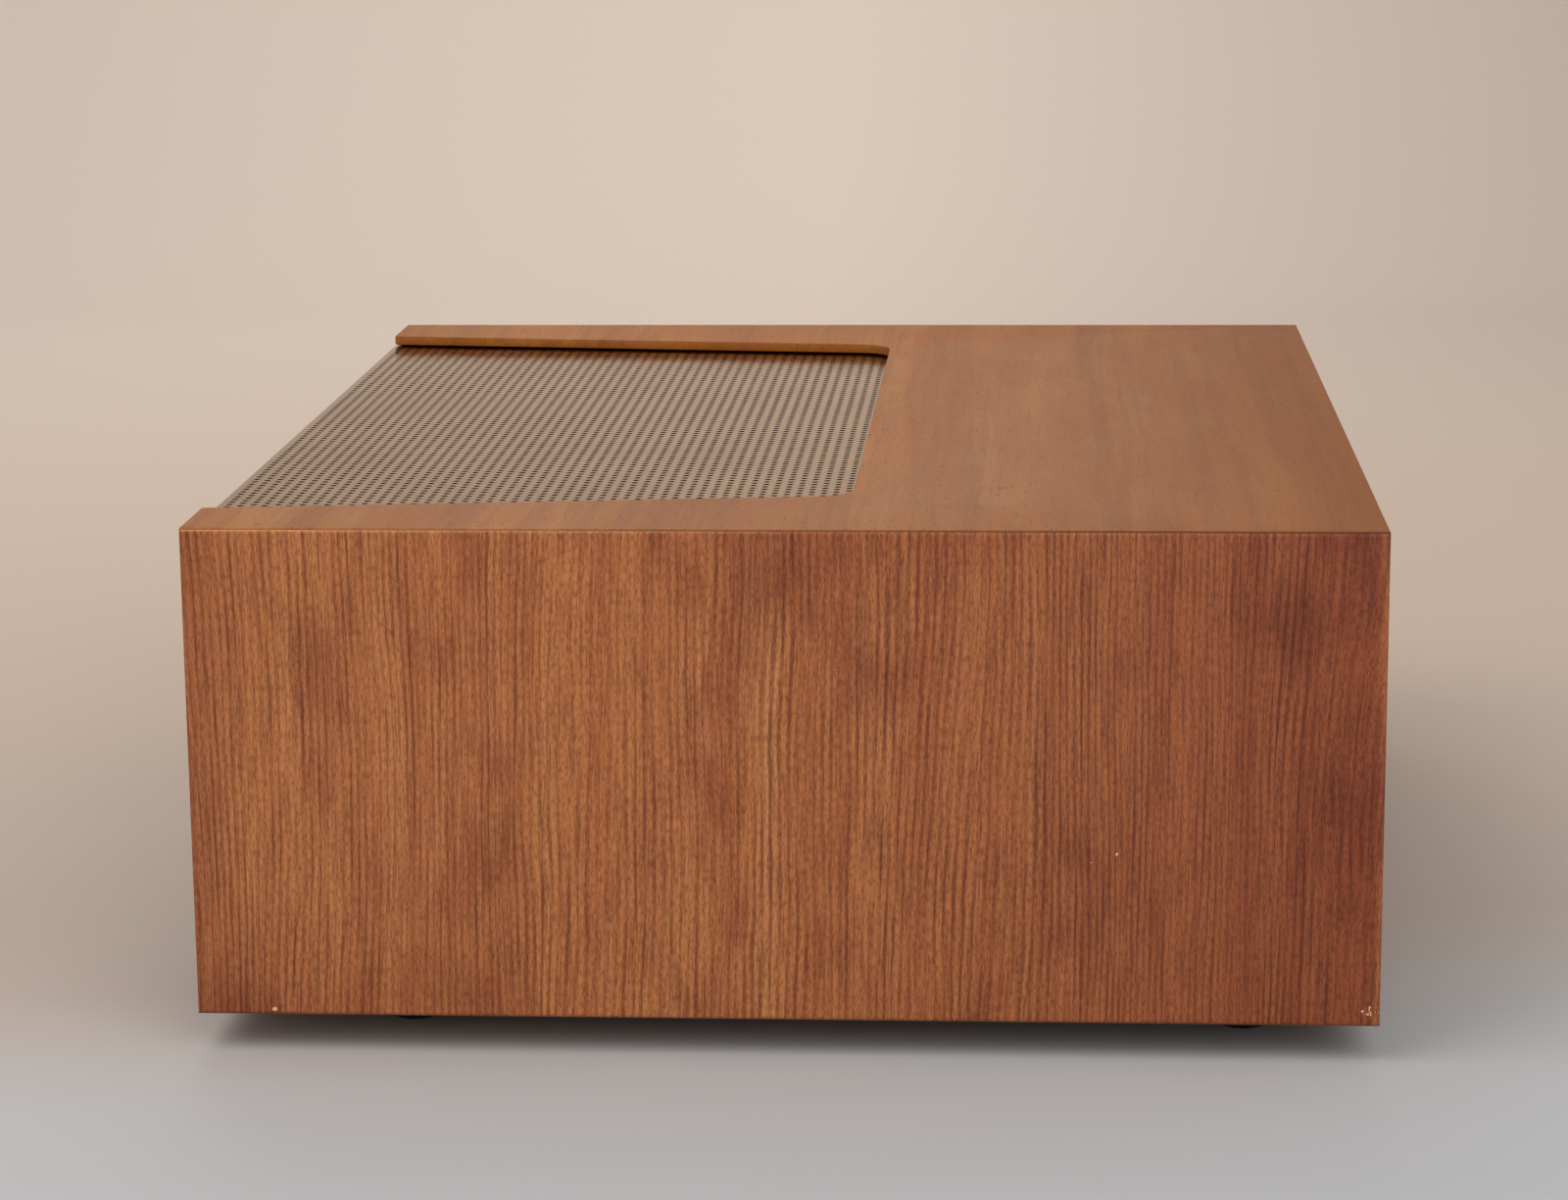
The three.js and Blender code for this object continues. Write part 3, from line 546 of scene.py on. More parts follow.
def makeSideVeneer(values):
    # Rift-cut oak veneer, stained and satin lacquered: close, nearly regular dark growth lines run up an
    # orange-brown ground, broken by short open pores, with redder clouds and a deeper stain at the front.
    name = "rift-cut oak veneer, stained and lacquered"
    material, tree, shader = newMaterial(name, IOR=1.5, Specular_IOR_Level=0.35)
    place, axes = grainPlace(tree, "Z", "Y", "X", values["bends"])
    streaks = patternOf(tree, place, values["streaks"], 3.0, 0.6)
    colour = addNode(tree, "ValToRGB", {0: streaks}, ramp=values["ground"])
    bands = {
        "Vector": place,
        "Scale": math.pi / 10 / values["lineSpacing"],  # one band every spacing
        "Distortion": 0.7,
        "Detail": 2.0,
        "Detail Scale": 1.2,
    }
    wave = addNode(tree, "TexWave", bands, wave_type="BANDS", bands_direction="X")
    growth = addNode(tree, "ValToRGB", {0: wave}, ramp=[(0.3, 0.0), (0.7, 0.55), (0.96, 1.0)])
    lines = growth
    for kind, gap in (("bundles", 0.36), ("breaks", 0.32)):
        present = addNode(tree, "MapRange", patternOf(tree, place, values[kind]), gap, 0.6, 0.3, 1.0)
        lines = addNode(tree, "Math", lines, present, operation="MULTIPLY")
    fibres = patternOf(tree, place, values["fibres"], 2.0, 0.6)
    pores = patternOf(tree, place, values["pores"], 2.0, 0.7)
    wood = [
        (addNode(tree, "Math", lines, 0.78, operation="MULTIPLY"), values["line"]),
        (addNode(tree, "MapRange", fibres, 0.44, 0.66, 0.0, 0.5), values["line"]),
        (addNode(tree, "MapRange", pores, 0.48, 0.68, 0.0, 0.6), values["line"]),
        # painted highlight: the fibres between the pores drawn lighter, as if catching the light
        (addNode(tree, "MapRange", pores, 0.46, 0.3, 0.0, 0.24), values["glint"]),
    ]
    colour = layered(tree, colour, wood)
    cloudy = patternOf(tree, place, values["clouds"], 3.0, 0.55)
    clouds = addNode(tree, "MapRange", cloudy, 0.5, 0.72, 0.0, 0.5)
    stains = [(clouds, values["stain"]), (stainOf(tree, axes), values["stain"])]
    colour = layered(tree, colour, stains, "MULTIPLY")
    # painted highlight along the top arris, stronger towards the rear where the light falls
    front, rear, top = cadBox[0][1] / mm, cadBox[1][1] / mm, cadBox[1][2] / mm
    arris = addNode(tree, "MapRange", axes["Z"], top - 1.1, top - 0.5, 0.0, 1.0)
    towardsRear = addNode(tree, "MapRange", axes["Y"], front + 120, rear, 0.0, 0.55)
    arrisHighlight = addNode(tree, "Math", arris, towardsRear, operation="MULTIPLY")
    # the painted arris highlight, then the real chips in the lacquer
    highlightAndChips = [(arrisHighlight, values["pale"]), (chipsOf(tree, place, axes, values), values["bare"])]
    colour = layered(tree, colour, highlightAndChips)
    sheen = values["roughness"]
    rough = addNode(tree, "MapRange", fibres, 0.3, 0.7, sheen - 0.06, sheen + 0.1)
    ridges = addNode(tree, "Math", growth, 0.6, operation="MULTIPLY")
    height = addNode(tree, "Math", ridges, pores, operation="SUBTRACT")
    joinShader(tree, shader, height, 0.00007, 0.6, Base_Color=colour, Roughness=rough)
    return material


topGrain = {
    "ground": [(0.34, "955714"), (0.5, "9D5F1C"), (0.66, "A66827")],
    "line": "6C3914",
    "pink": "9E5F38",
    "deep": "7A4220",  # the stain at the front
    "dark": "4A2614",  # open pores, the nick and the glue line
    # width, length and reach of each sideways bend in the grain, millimetres
    "bends": [(90, 260, 5.0), (18, 70, 1.1), (4, 20, 0.35)],
    # size of each pattern across, along and into the grain, millimetres
    "bands": (20.0, 420.0, 20.0),
    "growth": (7.5, 420.0, 7.5),
    "fibres": (1.1, 42.0, 1.1),
    "clouds": (24.0, 70.0, 24.0),
    "pores": (0.6, 4.2, 0.6),
    "nickEdge": (0.7, 1.6, 0.7),
    "nick": (-133.7, -59.1, 1.7),  # x, y and radius, millimetres
    "roughness": 0.52,
}


def marksOf(tree, place, axes, values):
    # the mitre's glue line, dark along the arris towards the front, and one nick in the lacquer
    front, half = cadBox[0][1] / mm, cadBox[1][0] / mm
    outwards = addNode(tree, "Math", axes["X"], operation="ABSOLUTE")
    arris = addNode(tree, "MapRange", outwards, half - 1.3, half - 0.7, 0.0, 1.0)
    showing = addNode(tree, "MapRange", axes["Y"], front + 260, front + 60, 0.0, 0.7)
    glueLine = addNode(tree, "Math", arris, showing, operation="MULTIPLY")
    x, y, radius = values["nick"]
    flat = addNode(tree, "CombineXYZ", {0: axes["X"], 1: axes["Y"]})
    away = addNode(tree, "VectorMath", {0: flat, 1: (x, y, 0.0)}, output="Value", operation="DISTANCE")
    edge = addNode(tree, "MapRange", patternOf(tree, place, values["nickEdge"], 1.0), 0.4, 0.6, 0.1, radius)
    nick = addNode(tree, "Math", away, edge, operation="LESS_THAN")
    return addNode(tree, "Math", glueLine, nick, operation="MAXIMUM")


def makeTopVeneer(values):
    # Crown-cut oak veneer, stained and satin lacquered, its grain across the cabinet: a soft orange brown
    # with wandering faint growth lines and a scatter of short dark pores.
    name = "crown-cut oak veneer, stained and lacquered"
    material, tree, shader = newMaterial(name, IOR=1.5, Specular_IOR_Level=0.3)
    place, axes = grainPlace(tree, "X", "Y", "Z", values["bends"])
    bands = patternOf(tree, place, values["bands"], 3.0, 0.55)
    colour = addNode(tree, "ValToRGB", {0: bands}, ramp=values["ground"])
    growth = patternOf(tree, place, values["growth"])
    lines = addNode(tree, "ValToRGB", {0: growth}, ramp=[(0.5, 0.0), (0.585, 0.9), (0.66, 0.15)])
    fibres = patternOf(tree, place, values["fibres"], 3.0, 0.6)
    clouds = patternOf(tree, place, values["clouds"], 3.0, 0.6)
    pores = addNode(tree, "MapRange", patternOf(tree, place, values["pores"]), 0.6, 0.72)
    front = cadBox[0][1] / mm
    layers = [
        (addNode(tree, "Math", lines, 0.34, operation="MULTIPLY"), values["line"]),
        (addNode(tree, "MapRange", fibres, 0.46, 0.7, 0.0, 0.26), values["line"]),
        (addNode(tree, "MapRange", clouds, 0.45, 0.62, 0.0, 0.36), values["pink"]),
        (addNode(tree, "Math", pores, 0.62, operation="MULTIPLY"), values["dark"]),
        (addNode(tree, "MapRange", axes["Y"], front, front + 150, 0.5, 0.0), values["deep"]),
        (marksOf(tree, place, axes, values), values["dark"]),
    ]
    colour = layered(tree, colour, layers)
    sheen = values["roughness"]
    rough = addNode(tree, "MapRange", clouds, 0.3, 0.7, sheen - 0.05, sheen + 0.07)
    ridges = addNode(tree, "Math", fibres, 0.5, operation="MULTIPLY")
    height = addNode(tree, "Math", ridges, pores, operation="SUBTRACT")
    joinShader(tree, shader, height, 0.00005, 0.5, Base_Color=colour, Roughness=rough)
    return material


plyGrain = {
    "bends": [(50, 160, 9.0), (12, 50, 1.5)],  # width, length and reach, millimetres
    "streaks": (3.2, 240.0, 3.2),
    "fibres": (0.6, 14.0, 0.6),
    "plies": 0.21,  # a band every 1.5 mm
}


def makePlywood(name, colours, glue):
    # Birch plywood, sanded: long faint streaks, with thin dark glue lines where the plies end.
    material, tree, shader = newMaterial(name, IOR=1.5)
    place = grainPlace(tree, "X", "Y", "Z", plyGrain["bends"])[0]
    streaks = patternOf(tree, place, plyGrain["streaks"], 3.0, 0.55)
    colour = addNode(tree, "ValToRGB", {0: streaks}, ramp=colours)
    bands = {"Vector": place, "Scale": plyGrain["plies"], "Distortion": 0.4}
    plies = addNode(tree, "TexWave", bands, bands_direction="Z")
    colour = layered(tree, colour, [(addNode(tree, "MapRange", plies, 0.0, 0.16, 0.5, 0.0), glue)])
    fibres = patternOf(tree, place, plyGrain["fibres"])
    rough = addNode(tree, "MapRange", fibres, 0.3, 0.7, 0.62, 0.8)
    joinShader(tree, shader, fibres, 0.0001, 0.4, Base_Color=colour, Roughness=rough)
    return material


coverFinish = {
    "metal": [(0.35, "9C7C54"), (0.65, "A8875D")],
    "wall": "3A3028",  # painted shade on the walls of the holes and on the sheet's underside
    "rolling": (9.0, 0.8, 3.0),  # millimetres
    "tarnish": 38.0,
    "roughness": (0.12, 0.2),
}


def makeCoverMetal(values):
    # Nickel-plated steel sheet, rolled to a satin: a warm grey that turns mirror-like at a low angle, with
    # painted shade on the walls of its holes and on its underside, so that the holes read dark.
    material, tree, shader = newMaterial("satin nickel-plated sheet", Metallic=1.0)
    place = millimetres(tree)
    rolling = patternOf(tree, place, values["rolling"], 3.0, 0.6)
    tarnish = patternOf(tree, place, values["tarnish"], 3.0, 0.55)
    colour = addNode(tree, "ValToRGB", {0: tarnish}, ramp=values["metal"])
    axes = axesOf(tree, place)
    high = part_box("vent_cover")[1] / mm
    # painted shade: below the top face, the fold apart, the metal is drawn dark
    below = addNode(tree, "MapRange", axes["Z"], high.z - 0.3, high.z - 0.06, 0.8, 0.0)
    notFolded = addNode(tree, "MapRange", axes["Y"], high.y - 1.6, high.y - 1.3, 1.0, 0.0)
    paintedHoleShade = addNode(tree, "Math", below, notFolded, operation="MULTIPLY")
    colour = layered(tree, colour, [(paintedHoleShade, values["wall"])])
    rough = addNode(tree, "MapRange", rolling, 0.3, 0.7, *values["roughness"])
    joinShader(tree, shader, rolling, 0.00002, 0.3, Base_Color=colour, Roughness=rough)
    return material


def handledRoughness(tree, pattern, low, high, spots):
    # roughness between two values by a pattern, and a little more where the piece has been handled
    own = addNode(tree, "MapRange", pattern, 0.3, 0.7, low, high)
    handled = addNode(tree, "MapRange", patternOf(tree, millimetres(tree), spots), 0.4, 0.7, 0.0, 0.06)
    return addNode(tree, "Math", own, handled, operation="ADD")


def makeBrushed(name, dark, light, roughness, scratch):
    # Aluminium brushed one way, then anodised: long fine scratches that draw out the highlights. The
    # scratches are drawn a few times coarser than the real 0.1 mm so that they show.
    material, tree, shader = newMaterial(name, Metallic=1.0)
    scratches = patternOf(tree, millimetres(tree), scratch, 3.0, 0.65)
    colour = addNode(tree, "ValToRGB", {0: scratches}, ramp=[(0.3, dark), (0.7, light)])
    rough = handledRoughness(tree, scratches, roughness - 0.05, roughness + 0.07, 45.0)
    joinShader(tree, shader, scratches, 0.00002, 0.4, Base_Color=colour, Roughness=rough)
    return material


def makeTurned(name, dark, light, roughness):
    # Bar turned on a lathe: tool marks 0.3 mm apart go round the piece, along its own UV map.
    material, tree, shader = newMaterial(name, Metallic=1.0)
    profile = axesOf(tree, addNode(tree, "UVMap", uv_map="turned"))["Y"]
    rings = patternOf(tree, addNode(tree, "CombineXYZ", {0: profile}), (0.3, 1.0, 1.0), 2.0, 0.6)
    colour = addNode(tree, "ValToRGB", {0: rings}, ramp=[(0.3, dark), (0.7, light)])
    rough = handledRoughness(tree, rings, roughness - 0.06, roughness + 0.06, 6.0)
    joinShader(tree, shader, rings, 0.00003, 0.35, Base_Color=colour, Roughness=rough)
    return material


def makePlated(name, dark, light, roughness):
    # Plated or lacquered steel: broad faint patches in the colour, with fine pitting.
    material, tree, shader = newMaterial(name, Metallic=1.0)
    place = millimetres(tree)
    patches = patternOf(tree, place, 16.0, 4.0, 0.6)
    pitting = patternOf(tree, place, 0.9, 3.0)
    colour = addNode(tree, "ValToRGB", {0: patches}, ramp=[(0.3, dark), (0.7, light)])
    rough = addNode(tree, "MapRange", patches, 0.3, 0.7, roughness - 0.07, roughness + 0.08)
    joinShader(tree, shader, pitting, 0.00002, 0.3, Base_Color=colour, Roughness=rough)
    return material


def makeMoulding(name, dark, light, roughness, texture=0.35, relief=0.00003):
    # A moulding: a fine spark-eroded texture breaks up the sheen, with slight cloudiness in the colour.
    material, tree, shader = newMaterial(name, IOR=1.5)
    place = millimetres(tree)
    patches = patternOf(tree, place, 9.0, 3.0)
    grain = patternOf(tree, place, texture)
    colour = addNode(tree, "ValToRGB", {0: patches}, ramp=[(0.3, dark), (0.7, light)])
    rough = addNode(tree, "MapRange", grain, 0.3, 0.7, roughness - 0.06, roughness + 0.08)
    joinShader(tree, shader, grain, relief, 0.6, Base_Color=colour, Roughness=rough)
    return material


def makeAmber():
    # Clear amber acrylic: deep colour under a wet-looking polished surface.
    material, tree, shader = newMaterial(
        "amber acrylic, polished", Roughness=0.06, IOR=1.49, Transmission_Weight=0.5
    )
    depth = patternOf(tree, millimetres(tree), 2.2, 1.0)
    colour = addNode(tree, "ValToRGB", {0: depth}, ramp=[(0.3, "C4570C"), (0.7, "EB9430")])
    joinShader(tree, shader, Base_Color=colour)
    return material


def makeLaminations():
    # Varnished transformer stampings: thin dark steel sheets stacked from front to back.
    material, tree, shader = newMaterial("varnished steel stampings", Metallic=0.6, Roughness=0.42)
    stack = {"Vector": millimetres(tree), "Scale": 0.5, "Distortion": 0.3}
    sheets = addNode(tree, "TexWave", stack, bands_direction="Y")
    colour = addNode(tree, "ValToRGB", {0: sheets}, ramp=[(0.2, "16130F"), (0.8, "3A332A")])
    joinShader(tree, shader, sheets, 0.0001, 0.5, Base_Color=colour)
    return material


sideWood = makeSideVeneer(sideGrain)
topWood = makeTopVeneer(topGrain)
bareColours = [(0.3, "A98257"), (0.55, "C29C6E"), (0.75, "CFAE83")]
stainedColours = [(0.3, "6E4428"), (0.55, "825334"), (0.75, "8F6040")]
plywood = makePlywood("birch plywood, sanded", bareColours, "7A5531")
stainedPlywood = makePlywood("birch plywood, stained", stainedColours, "4A2A17")
coverMetal = makeCoverMetal(coverFinish)
panelBrushing, extrusionLines = (60.0, 0.35, 0.35), (0.4, 0.4, 60.0)  # millimetres
panelAluminium = makeBrushed("brushed aluminium, clear anodised", "BDB7AA", "D9D4C8", 0.34, panelBrushing)
blackAluminium = makeBrushed("extruded aluminium, black anodised", "1D1D1F", "2C2C2E", 0.42, extrusionLines)
knobAluminium = makeTurned("turned aluminium, clear anodised", "B9B4A9", "D8D3C8", 0.28)
turnedSteel = makeTurned("turned steel, nickel plated", "A7A299", "C9C5BB", 0.24)
brightChrome = makeTurned("turned brass, chrome plated", "C6C6C4", "DCDCDA", 0.12)
zincSteel = makePlated("zinc-plated steel", "8F8D86", "A9A79F", 0.4)
lacqueredSteel = makePlated("passivated steel, dark lacquer", "4A453E", "5B564E", 0.45)
screwSteel = makePlated("zinc-plated screw steel", "9B988F", "B7B4AB", 0.3)
platedStrip = makePlated("nickel-plated brass strip", "B3AC9C", "CBC5B6", 0.26)
blackRubber = makeMoulding("moulded black rubber", "161515", "232221", 0.78, 0.5, 0.00006)
blackMoulding = makeMoulding("moulded phenolic, black", "181716", "262422", 0.42)
redMoulding = makeMoulding("moulded nylon, red", "8A1F18", "A32A20", 0.4)
ivoryMoulding = makeMoulding("moulded nylon, ivory", "CCC6B4", "DDD8C8", 0.4)
blackInk = makeMoulding("printed black enamel", "141313", "1E1D1C", 0.5, 0.2, 0.00001)
canSleeve = makeMoulding("shrink sleeve, blue grey", "33465A", "3F5468", 0.36, 1.2, 0.00002)
paperBoard = makeMoulding("resin-bonded paper board", "7A5426", "9A7038", 0.48, 0.6)
amber = makeAmber()
laminations = makeLaminations()
print("materials are made")


# Copies of one shape on points, by Geometry Nodes

def newTree(name, inputs):
    tree = bpy.data.node_groups.new(name, "GeometryNodeTree")
    for socket, kind in {"Geometry": "NodeSocketGeometry", **inputs}.items():
        tree.interface.new_socket(name=socket, in_out="INPUT", socket_type=kind)
    tree.interface.new_socket(name="Geometry", in_out="OUTPUT", socket_type="NodeSocketGeometry")
    return tree, tree.nodes.new("NodeGroupInput").outputs


def endTree(tree, geometry):
    real = addNode(tree, "RealizeInstances", {"Geometry": geometry})
    painted = addNode(tree, "SetMaterial", {"Geometry": real})
    tree.links.new(tree.nodes["Group Input"].outputs["material"], painted.node.inputs["Material"])
    tree.links.new(painted, tree.nodes.new("NodeGroupOutput").inputs["Geometry"])


def runTree(piece, tree, values):
    # the modifier's inputs are set by identifier before the piece is first evaluated
    modifier = piece.modifiers.new(tree.name, "NODES")
    modifier.node_group = tree
    for item in tree.interface.items_tree:
        if item.in_out == "INPUT" and item.name in values:
            modifier[item.identifier] = values[item.name]
    return applied(piece)


def makeCopiesTree():
    tree, source = newTree(
        "copiesOnPoints",
        {
            "shape": "NodeSocketObject",
            "facing": "NodeSocketVector",
            "spin": "NodeSocketFloat",
            "seed": "NodeSocketInt",
            "material": "NodeSocketMaterial",
        },
    )
    shape = addNode(tree, "ObjectInfo", {"Object": source["shape"]}, output="Geometry")
    copies = addNode(
        tree,
        "InstanceOnPoints",
        {"Points": source["Geometry"], "Instance": shape, "Rotation": source["facing"]},
    )
    turn = addNode(
        tree, "RandomValue", {"Min": 0.0, "Max": source["spin"], "Seed": source["seed"]}, output=1,
        data_type="FLOAT",
    )
    aboutSelf = addNode(tree, "CombineXYZ", {2: turn})
    spun = addNode(tree, "RotateInstances", {"Instances": copies, "Rotation": aboutSelf, "Local Space": True})
    endTree(tree, spun)
    return tree


copiesTree = makeCopiesTree()


def copiesOf(name, shapeMesh, places, facing, material, spin=0.0, seed=3):
    # one mesh with a copy of the shape at each place, in metres
    shape = newPiece("patternShape", shapeMesh)
    points = bpy.data.meshes.new(name)
    points.from_pydata([tuple(place) for place in places], [], [])
    piece = newPiece(name, points)
    values = {"shape": shape, "facing": facing.to_euler(), "spin": spin, "seed": seed, "material": material}
    runTree(piece, copiesTree, values)
    bpy.data.objects.remove(shape)
    mesh = piece.data
    bpy.data.objects.remove(piece)
    return mesh


screwSizes = {"headRadius": 3.0, "headHeight": 1.6, "crossWidth": 0.7, "crossReach": 1.7, "crossDepth": 1.0}


def screwHead(headRadius, headHeight):
    # a pan head with a cross recess, standing on its place
    profile = [(0, headHeight), (headRadius * 0.55, headHeight * 0.97), (headRadius * 0.85, headHeight * 0.74)]
    profile += [(headRadius, headHeight * 0.3), (headRadius, 0), (0, 0)]
    head = turnedMesh("screwHead", rounded(profile, 0.2, 2), 20)
    scale = headRadius / screwSizes["headRadius"]
    half, reach = screwSizes["crossWidth"] * scale / 2, screwSizes["crossReach"] * scale
    floorLevel = headHeight - screwSizes["crossDepth"] * scale
    for a, b in ((half, reach), (reach, half)):
        low = Vector((-a, -b, floorLevel)) * mm
        high = Vector((a, b, headHeight + 1)) * mm
        head = cutAway(head, boxMesh("cross", low, high))
    smoothByAngle(head)
    return head


# Wooden sleeve

sleeve = {
    "panel": 15.0,  # millimetres
    "cornerRadius": 1.5,
    "edgeRadius": 0.9,
    "seam": 0.06,
    "cheekRear": 30.0,
    "cheekFront": 51.0,
    "ventDepth": 178.0,
    "ventCorner": 12.0,
    "lip": 3.2,
    "lipWidth": 12.0,
    "cutEdgeRadius": 0.45,
    "slotLength": 70.0,
    "slotWidth": 6.0,
    "slotPitch": 16.0,
    "slotRows": (-62.0, 62.0),
    "slotColumns": (-91.0, 91.0),
    "slotCount": 5,
}

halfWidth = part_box("right_side_panel")[1].x
cabinetFront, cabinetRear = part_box("top_panel")[0].y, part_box("top_panel")[1].y
cabinetBottom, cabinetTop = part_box("bottom_panel")[0].z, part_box("top_panel")[1].z


def ventHalf(y):
    # half the cutout's width at a place along Y, in metres
    rearHalf = halfWidth - sleeve["cheekRear"] * mm
    frontHalf = halfWidth - sleeve["cheekFront"] * mm
    start = cabinetRear - sleeve["ventDepth"] * mm
    return frontHalf + (rearHalf - frontHalf) * (y - start) / (sleeve["ventDepth"] * mm)


def ventPlan(grow, yEnd, cornerRadius, steps=12):
    # the cutout's plan, grown outwards, with two round front corners and a straight rear edge
    yStart = cabinetRear - sleeve["ventDepth"] * mm - grow
    frontHalf = ventHalf(yStart) + grow
    rearHalf = ventHalf(yEnd) + grow
    lean = math.atan2(rearHalf - frontHalf, yEnd - yStart)
    centreX = frontHalf - cornerRadius * math.tan((math.pi / 2 - lean) / 2)
    centreY = yStart + cornerRadius
    right = []
    for step in range(steps + 1):
        angle = -math.pi / 2 + (math.pi / 2 - lean) * step / steps
        right.append((centreX + cornerRadius * math.cos(angle), centreY + cornerRadius * math.sin(angle)))
    right.append((rearHalf, yEnd))
    return right + [(-x, y) for x, y in reversed(right)]


def boardSection(outer, inner, normal, steps=5):
    # a mitred board's section: each end of its outer face turns 45 degrees of a round corner, then the mitre
    radius = sleeve["cornerRadius"] * mm
    normal = Vector(normal)
    ends = Vector(outer[0]), Vector(outer[1])
    along = (ends[1] - ends[0]).normalized()
    arcs = []
    for end, direction in ((ends[0], along), (ends[1], -along)):
        centre = end + direction * radius - normal * radius
        arcs.append([
            tuple(centre + (normal * math.cos(a) - direction * math.sin(a)) * radius)
            for a in (math.pi / 4 * step / steps for step in range(steps + 1))
        ])
    return arcs[0][::-1] + arcs[1] + [inner[1], inner[0]]


def onMitre(edge):
    normals = [face.normal for face in edge.link_faces]
    return any(abs(abs(normal.x) - abs(normal.z)) < 0.05 and abs(normal.y) < 0.1 for normal in normals)

def softened(piece, width, segments=3):
    # round the sharp edges of a board, apart from those on its mitres
    work = bmesh.new()
    work.from_mesh(piece.data)
    layer = work.edges.layers.float.new("bevel_weight_edge")
    for edge in work.edges:
        sharp = len(edge.link_faces) == 2 and edge.calc_face_angle(0.0) > math.radians(35)
        edge[layer] = 1.0 if sharp and not onMitre(edge) else 0.0
    work.to_mesh(piece.data)
    work.free()
    modifier = piece.modifiers.new("soften", "BEVEL")
    modifier.limit_method = "WEIGHT"
    modifier.width = width
    modifier.segments = segments
    applied(piece)
    smoothByAngle(piece.data, 32)
    return piece


def cutVent(mesh):
    # the cutout for the cover, and the wider rebate under it that leaves a thin lip
    over, corner = 5 * mm, sleeve["ventCorner"] * mm
    below = cabinetTop - sleeve["panel"] * mm - over
    opening = ventPlan(0, cabinetRear + over, corner)
    mesh = cutAway(mesh, outlineSolid("opening", opening, below, cabinetTop + over, "z"))
    rebate = ventPlan(sleeve["lipWidth"] * mm, cabinetRear + over, corner)
    return cutAway(mesh, outlineSolid("rebate", rebate, below, cabinetTop - sleeve["lip"] * mm, "z"))

def slotPlan(x, y, steps=8):
    # a vent slot's outline, with round ends
    halfLength, radius = sleeve["slotLength"] / 2 * mm, sleeve["slotWidth"] / 2 * mm
    points = []
    for end in (1, -1):
        for step in range(steps + 1):
            angle = math.pi * step / steps - math.pi / 2
            across = end * (halfLength - radius + radius * math.cos(angle))
            points.append((x * mm + across, y * mm + end * radius * math.sin(angle)))
    return points

def cutSlots(mesh):
    # four groups of vent slots
    panel = sleeve["panel"] * mm
    low, high = cabinetBottom - panel, cabinetBottom + 2 * panel
    for x in sleeve["slotColumns"]:
        for y in sleeve["slotRows"]:
            for index in range(sleeve["slotCount"]):
                middle = y + (index - (sleeve["slotCount"] - 1) / 2) * sleeve["slotPitch"]
                mesh = cutAway(mesh, outlineSolid("slot", slotPlan(x, middle), low, high, "z"))
    return mesh

def makeSleeve():
    panel, seam = sleeve["panel"] * mm, sleeve["seam"] * mm
    low, high, inner = cabinetBottom, cabinetTop, halfWidth - sleeve["panel"] * mm
    side = boardSection(
        ((halfWidth, low + seam), (halfWidth, high - seam)),
        ((inner, low + panel + seam), (inner, high - panel - seam)),
        (1, 0),
    )
    for name, sign in (("left", -1), ("right", 1)):
        points = [(sign * x, z) for x, z in side]
        mesh = outlineSolid(name + "SidePanel", points, cabinetFront, cabinetRear, "y")
        board = newPiece(name + "SidePanel", mesh, sideWood)
        softened(board, sleeve["edgeRadius"] * mm)
        settle(board, "case", "veneered_wood", name + "_side_panel")

    for name, outer, innerLevel, up in (("top", high, high - panel, 1), ("bottom", low, low + panel, -1)):
        section = boardSection(
            ((-halfWidth + seam, outer), (halfWidth - seam, outer)),
            ((-inner + seam, innerLevel), (inner - seam, innerLevel)),
            (0, up),
        )
        mesh = outlineSolid(name + "Panel", section, cabinetFront, cabinetRear, "y")
        mesh = cutVent(mesh) if name == "top" else cutSlots(mesh)
        wood, slot = (topWood, "veneered_wood") if name == "top" else (stainedPlywood, "plywood")
        board = newPiece(name + "Panel", mesh, wood)
        softened(board, sleeve["cutEdgeRadius"] * mm, 2)
        for polygon in board.data.polygons:
            polygon.material_index = 0
        settle(board, "case", slot, name + "_panel")


makeSleeve()
print("wooden sleeve is made")


# Perforated cover

cover = {
    "pitch": 4.0,  # millimetres between holes, on a 60 degree stagger
    "holeDiameter": 2.0,
    "holeSides": 8,
    "overlap": 10.0,
    "underLip": 1.0,  # how far the holes run on under the wood
    "rearMargin": 2.65,
    "thickness": 1.0,
    "foldRadius": 1.2,
    "foldSteps": 6,
    "sideGap": 0.3,
}


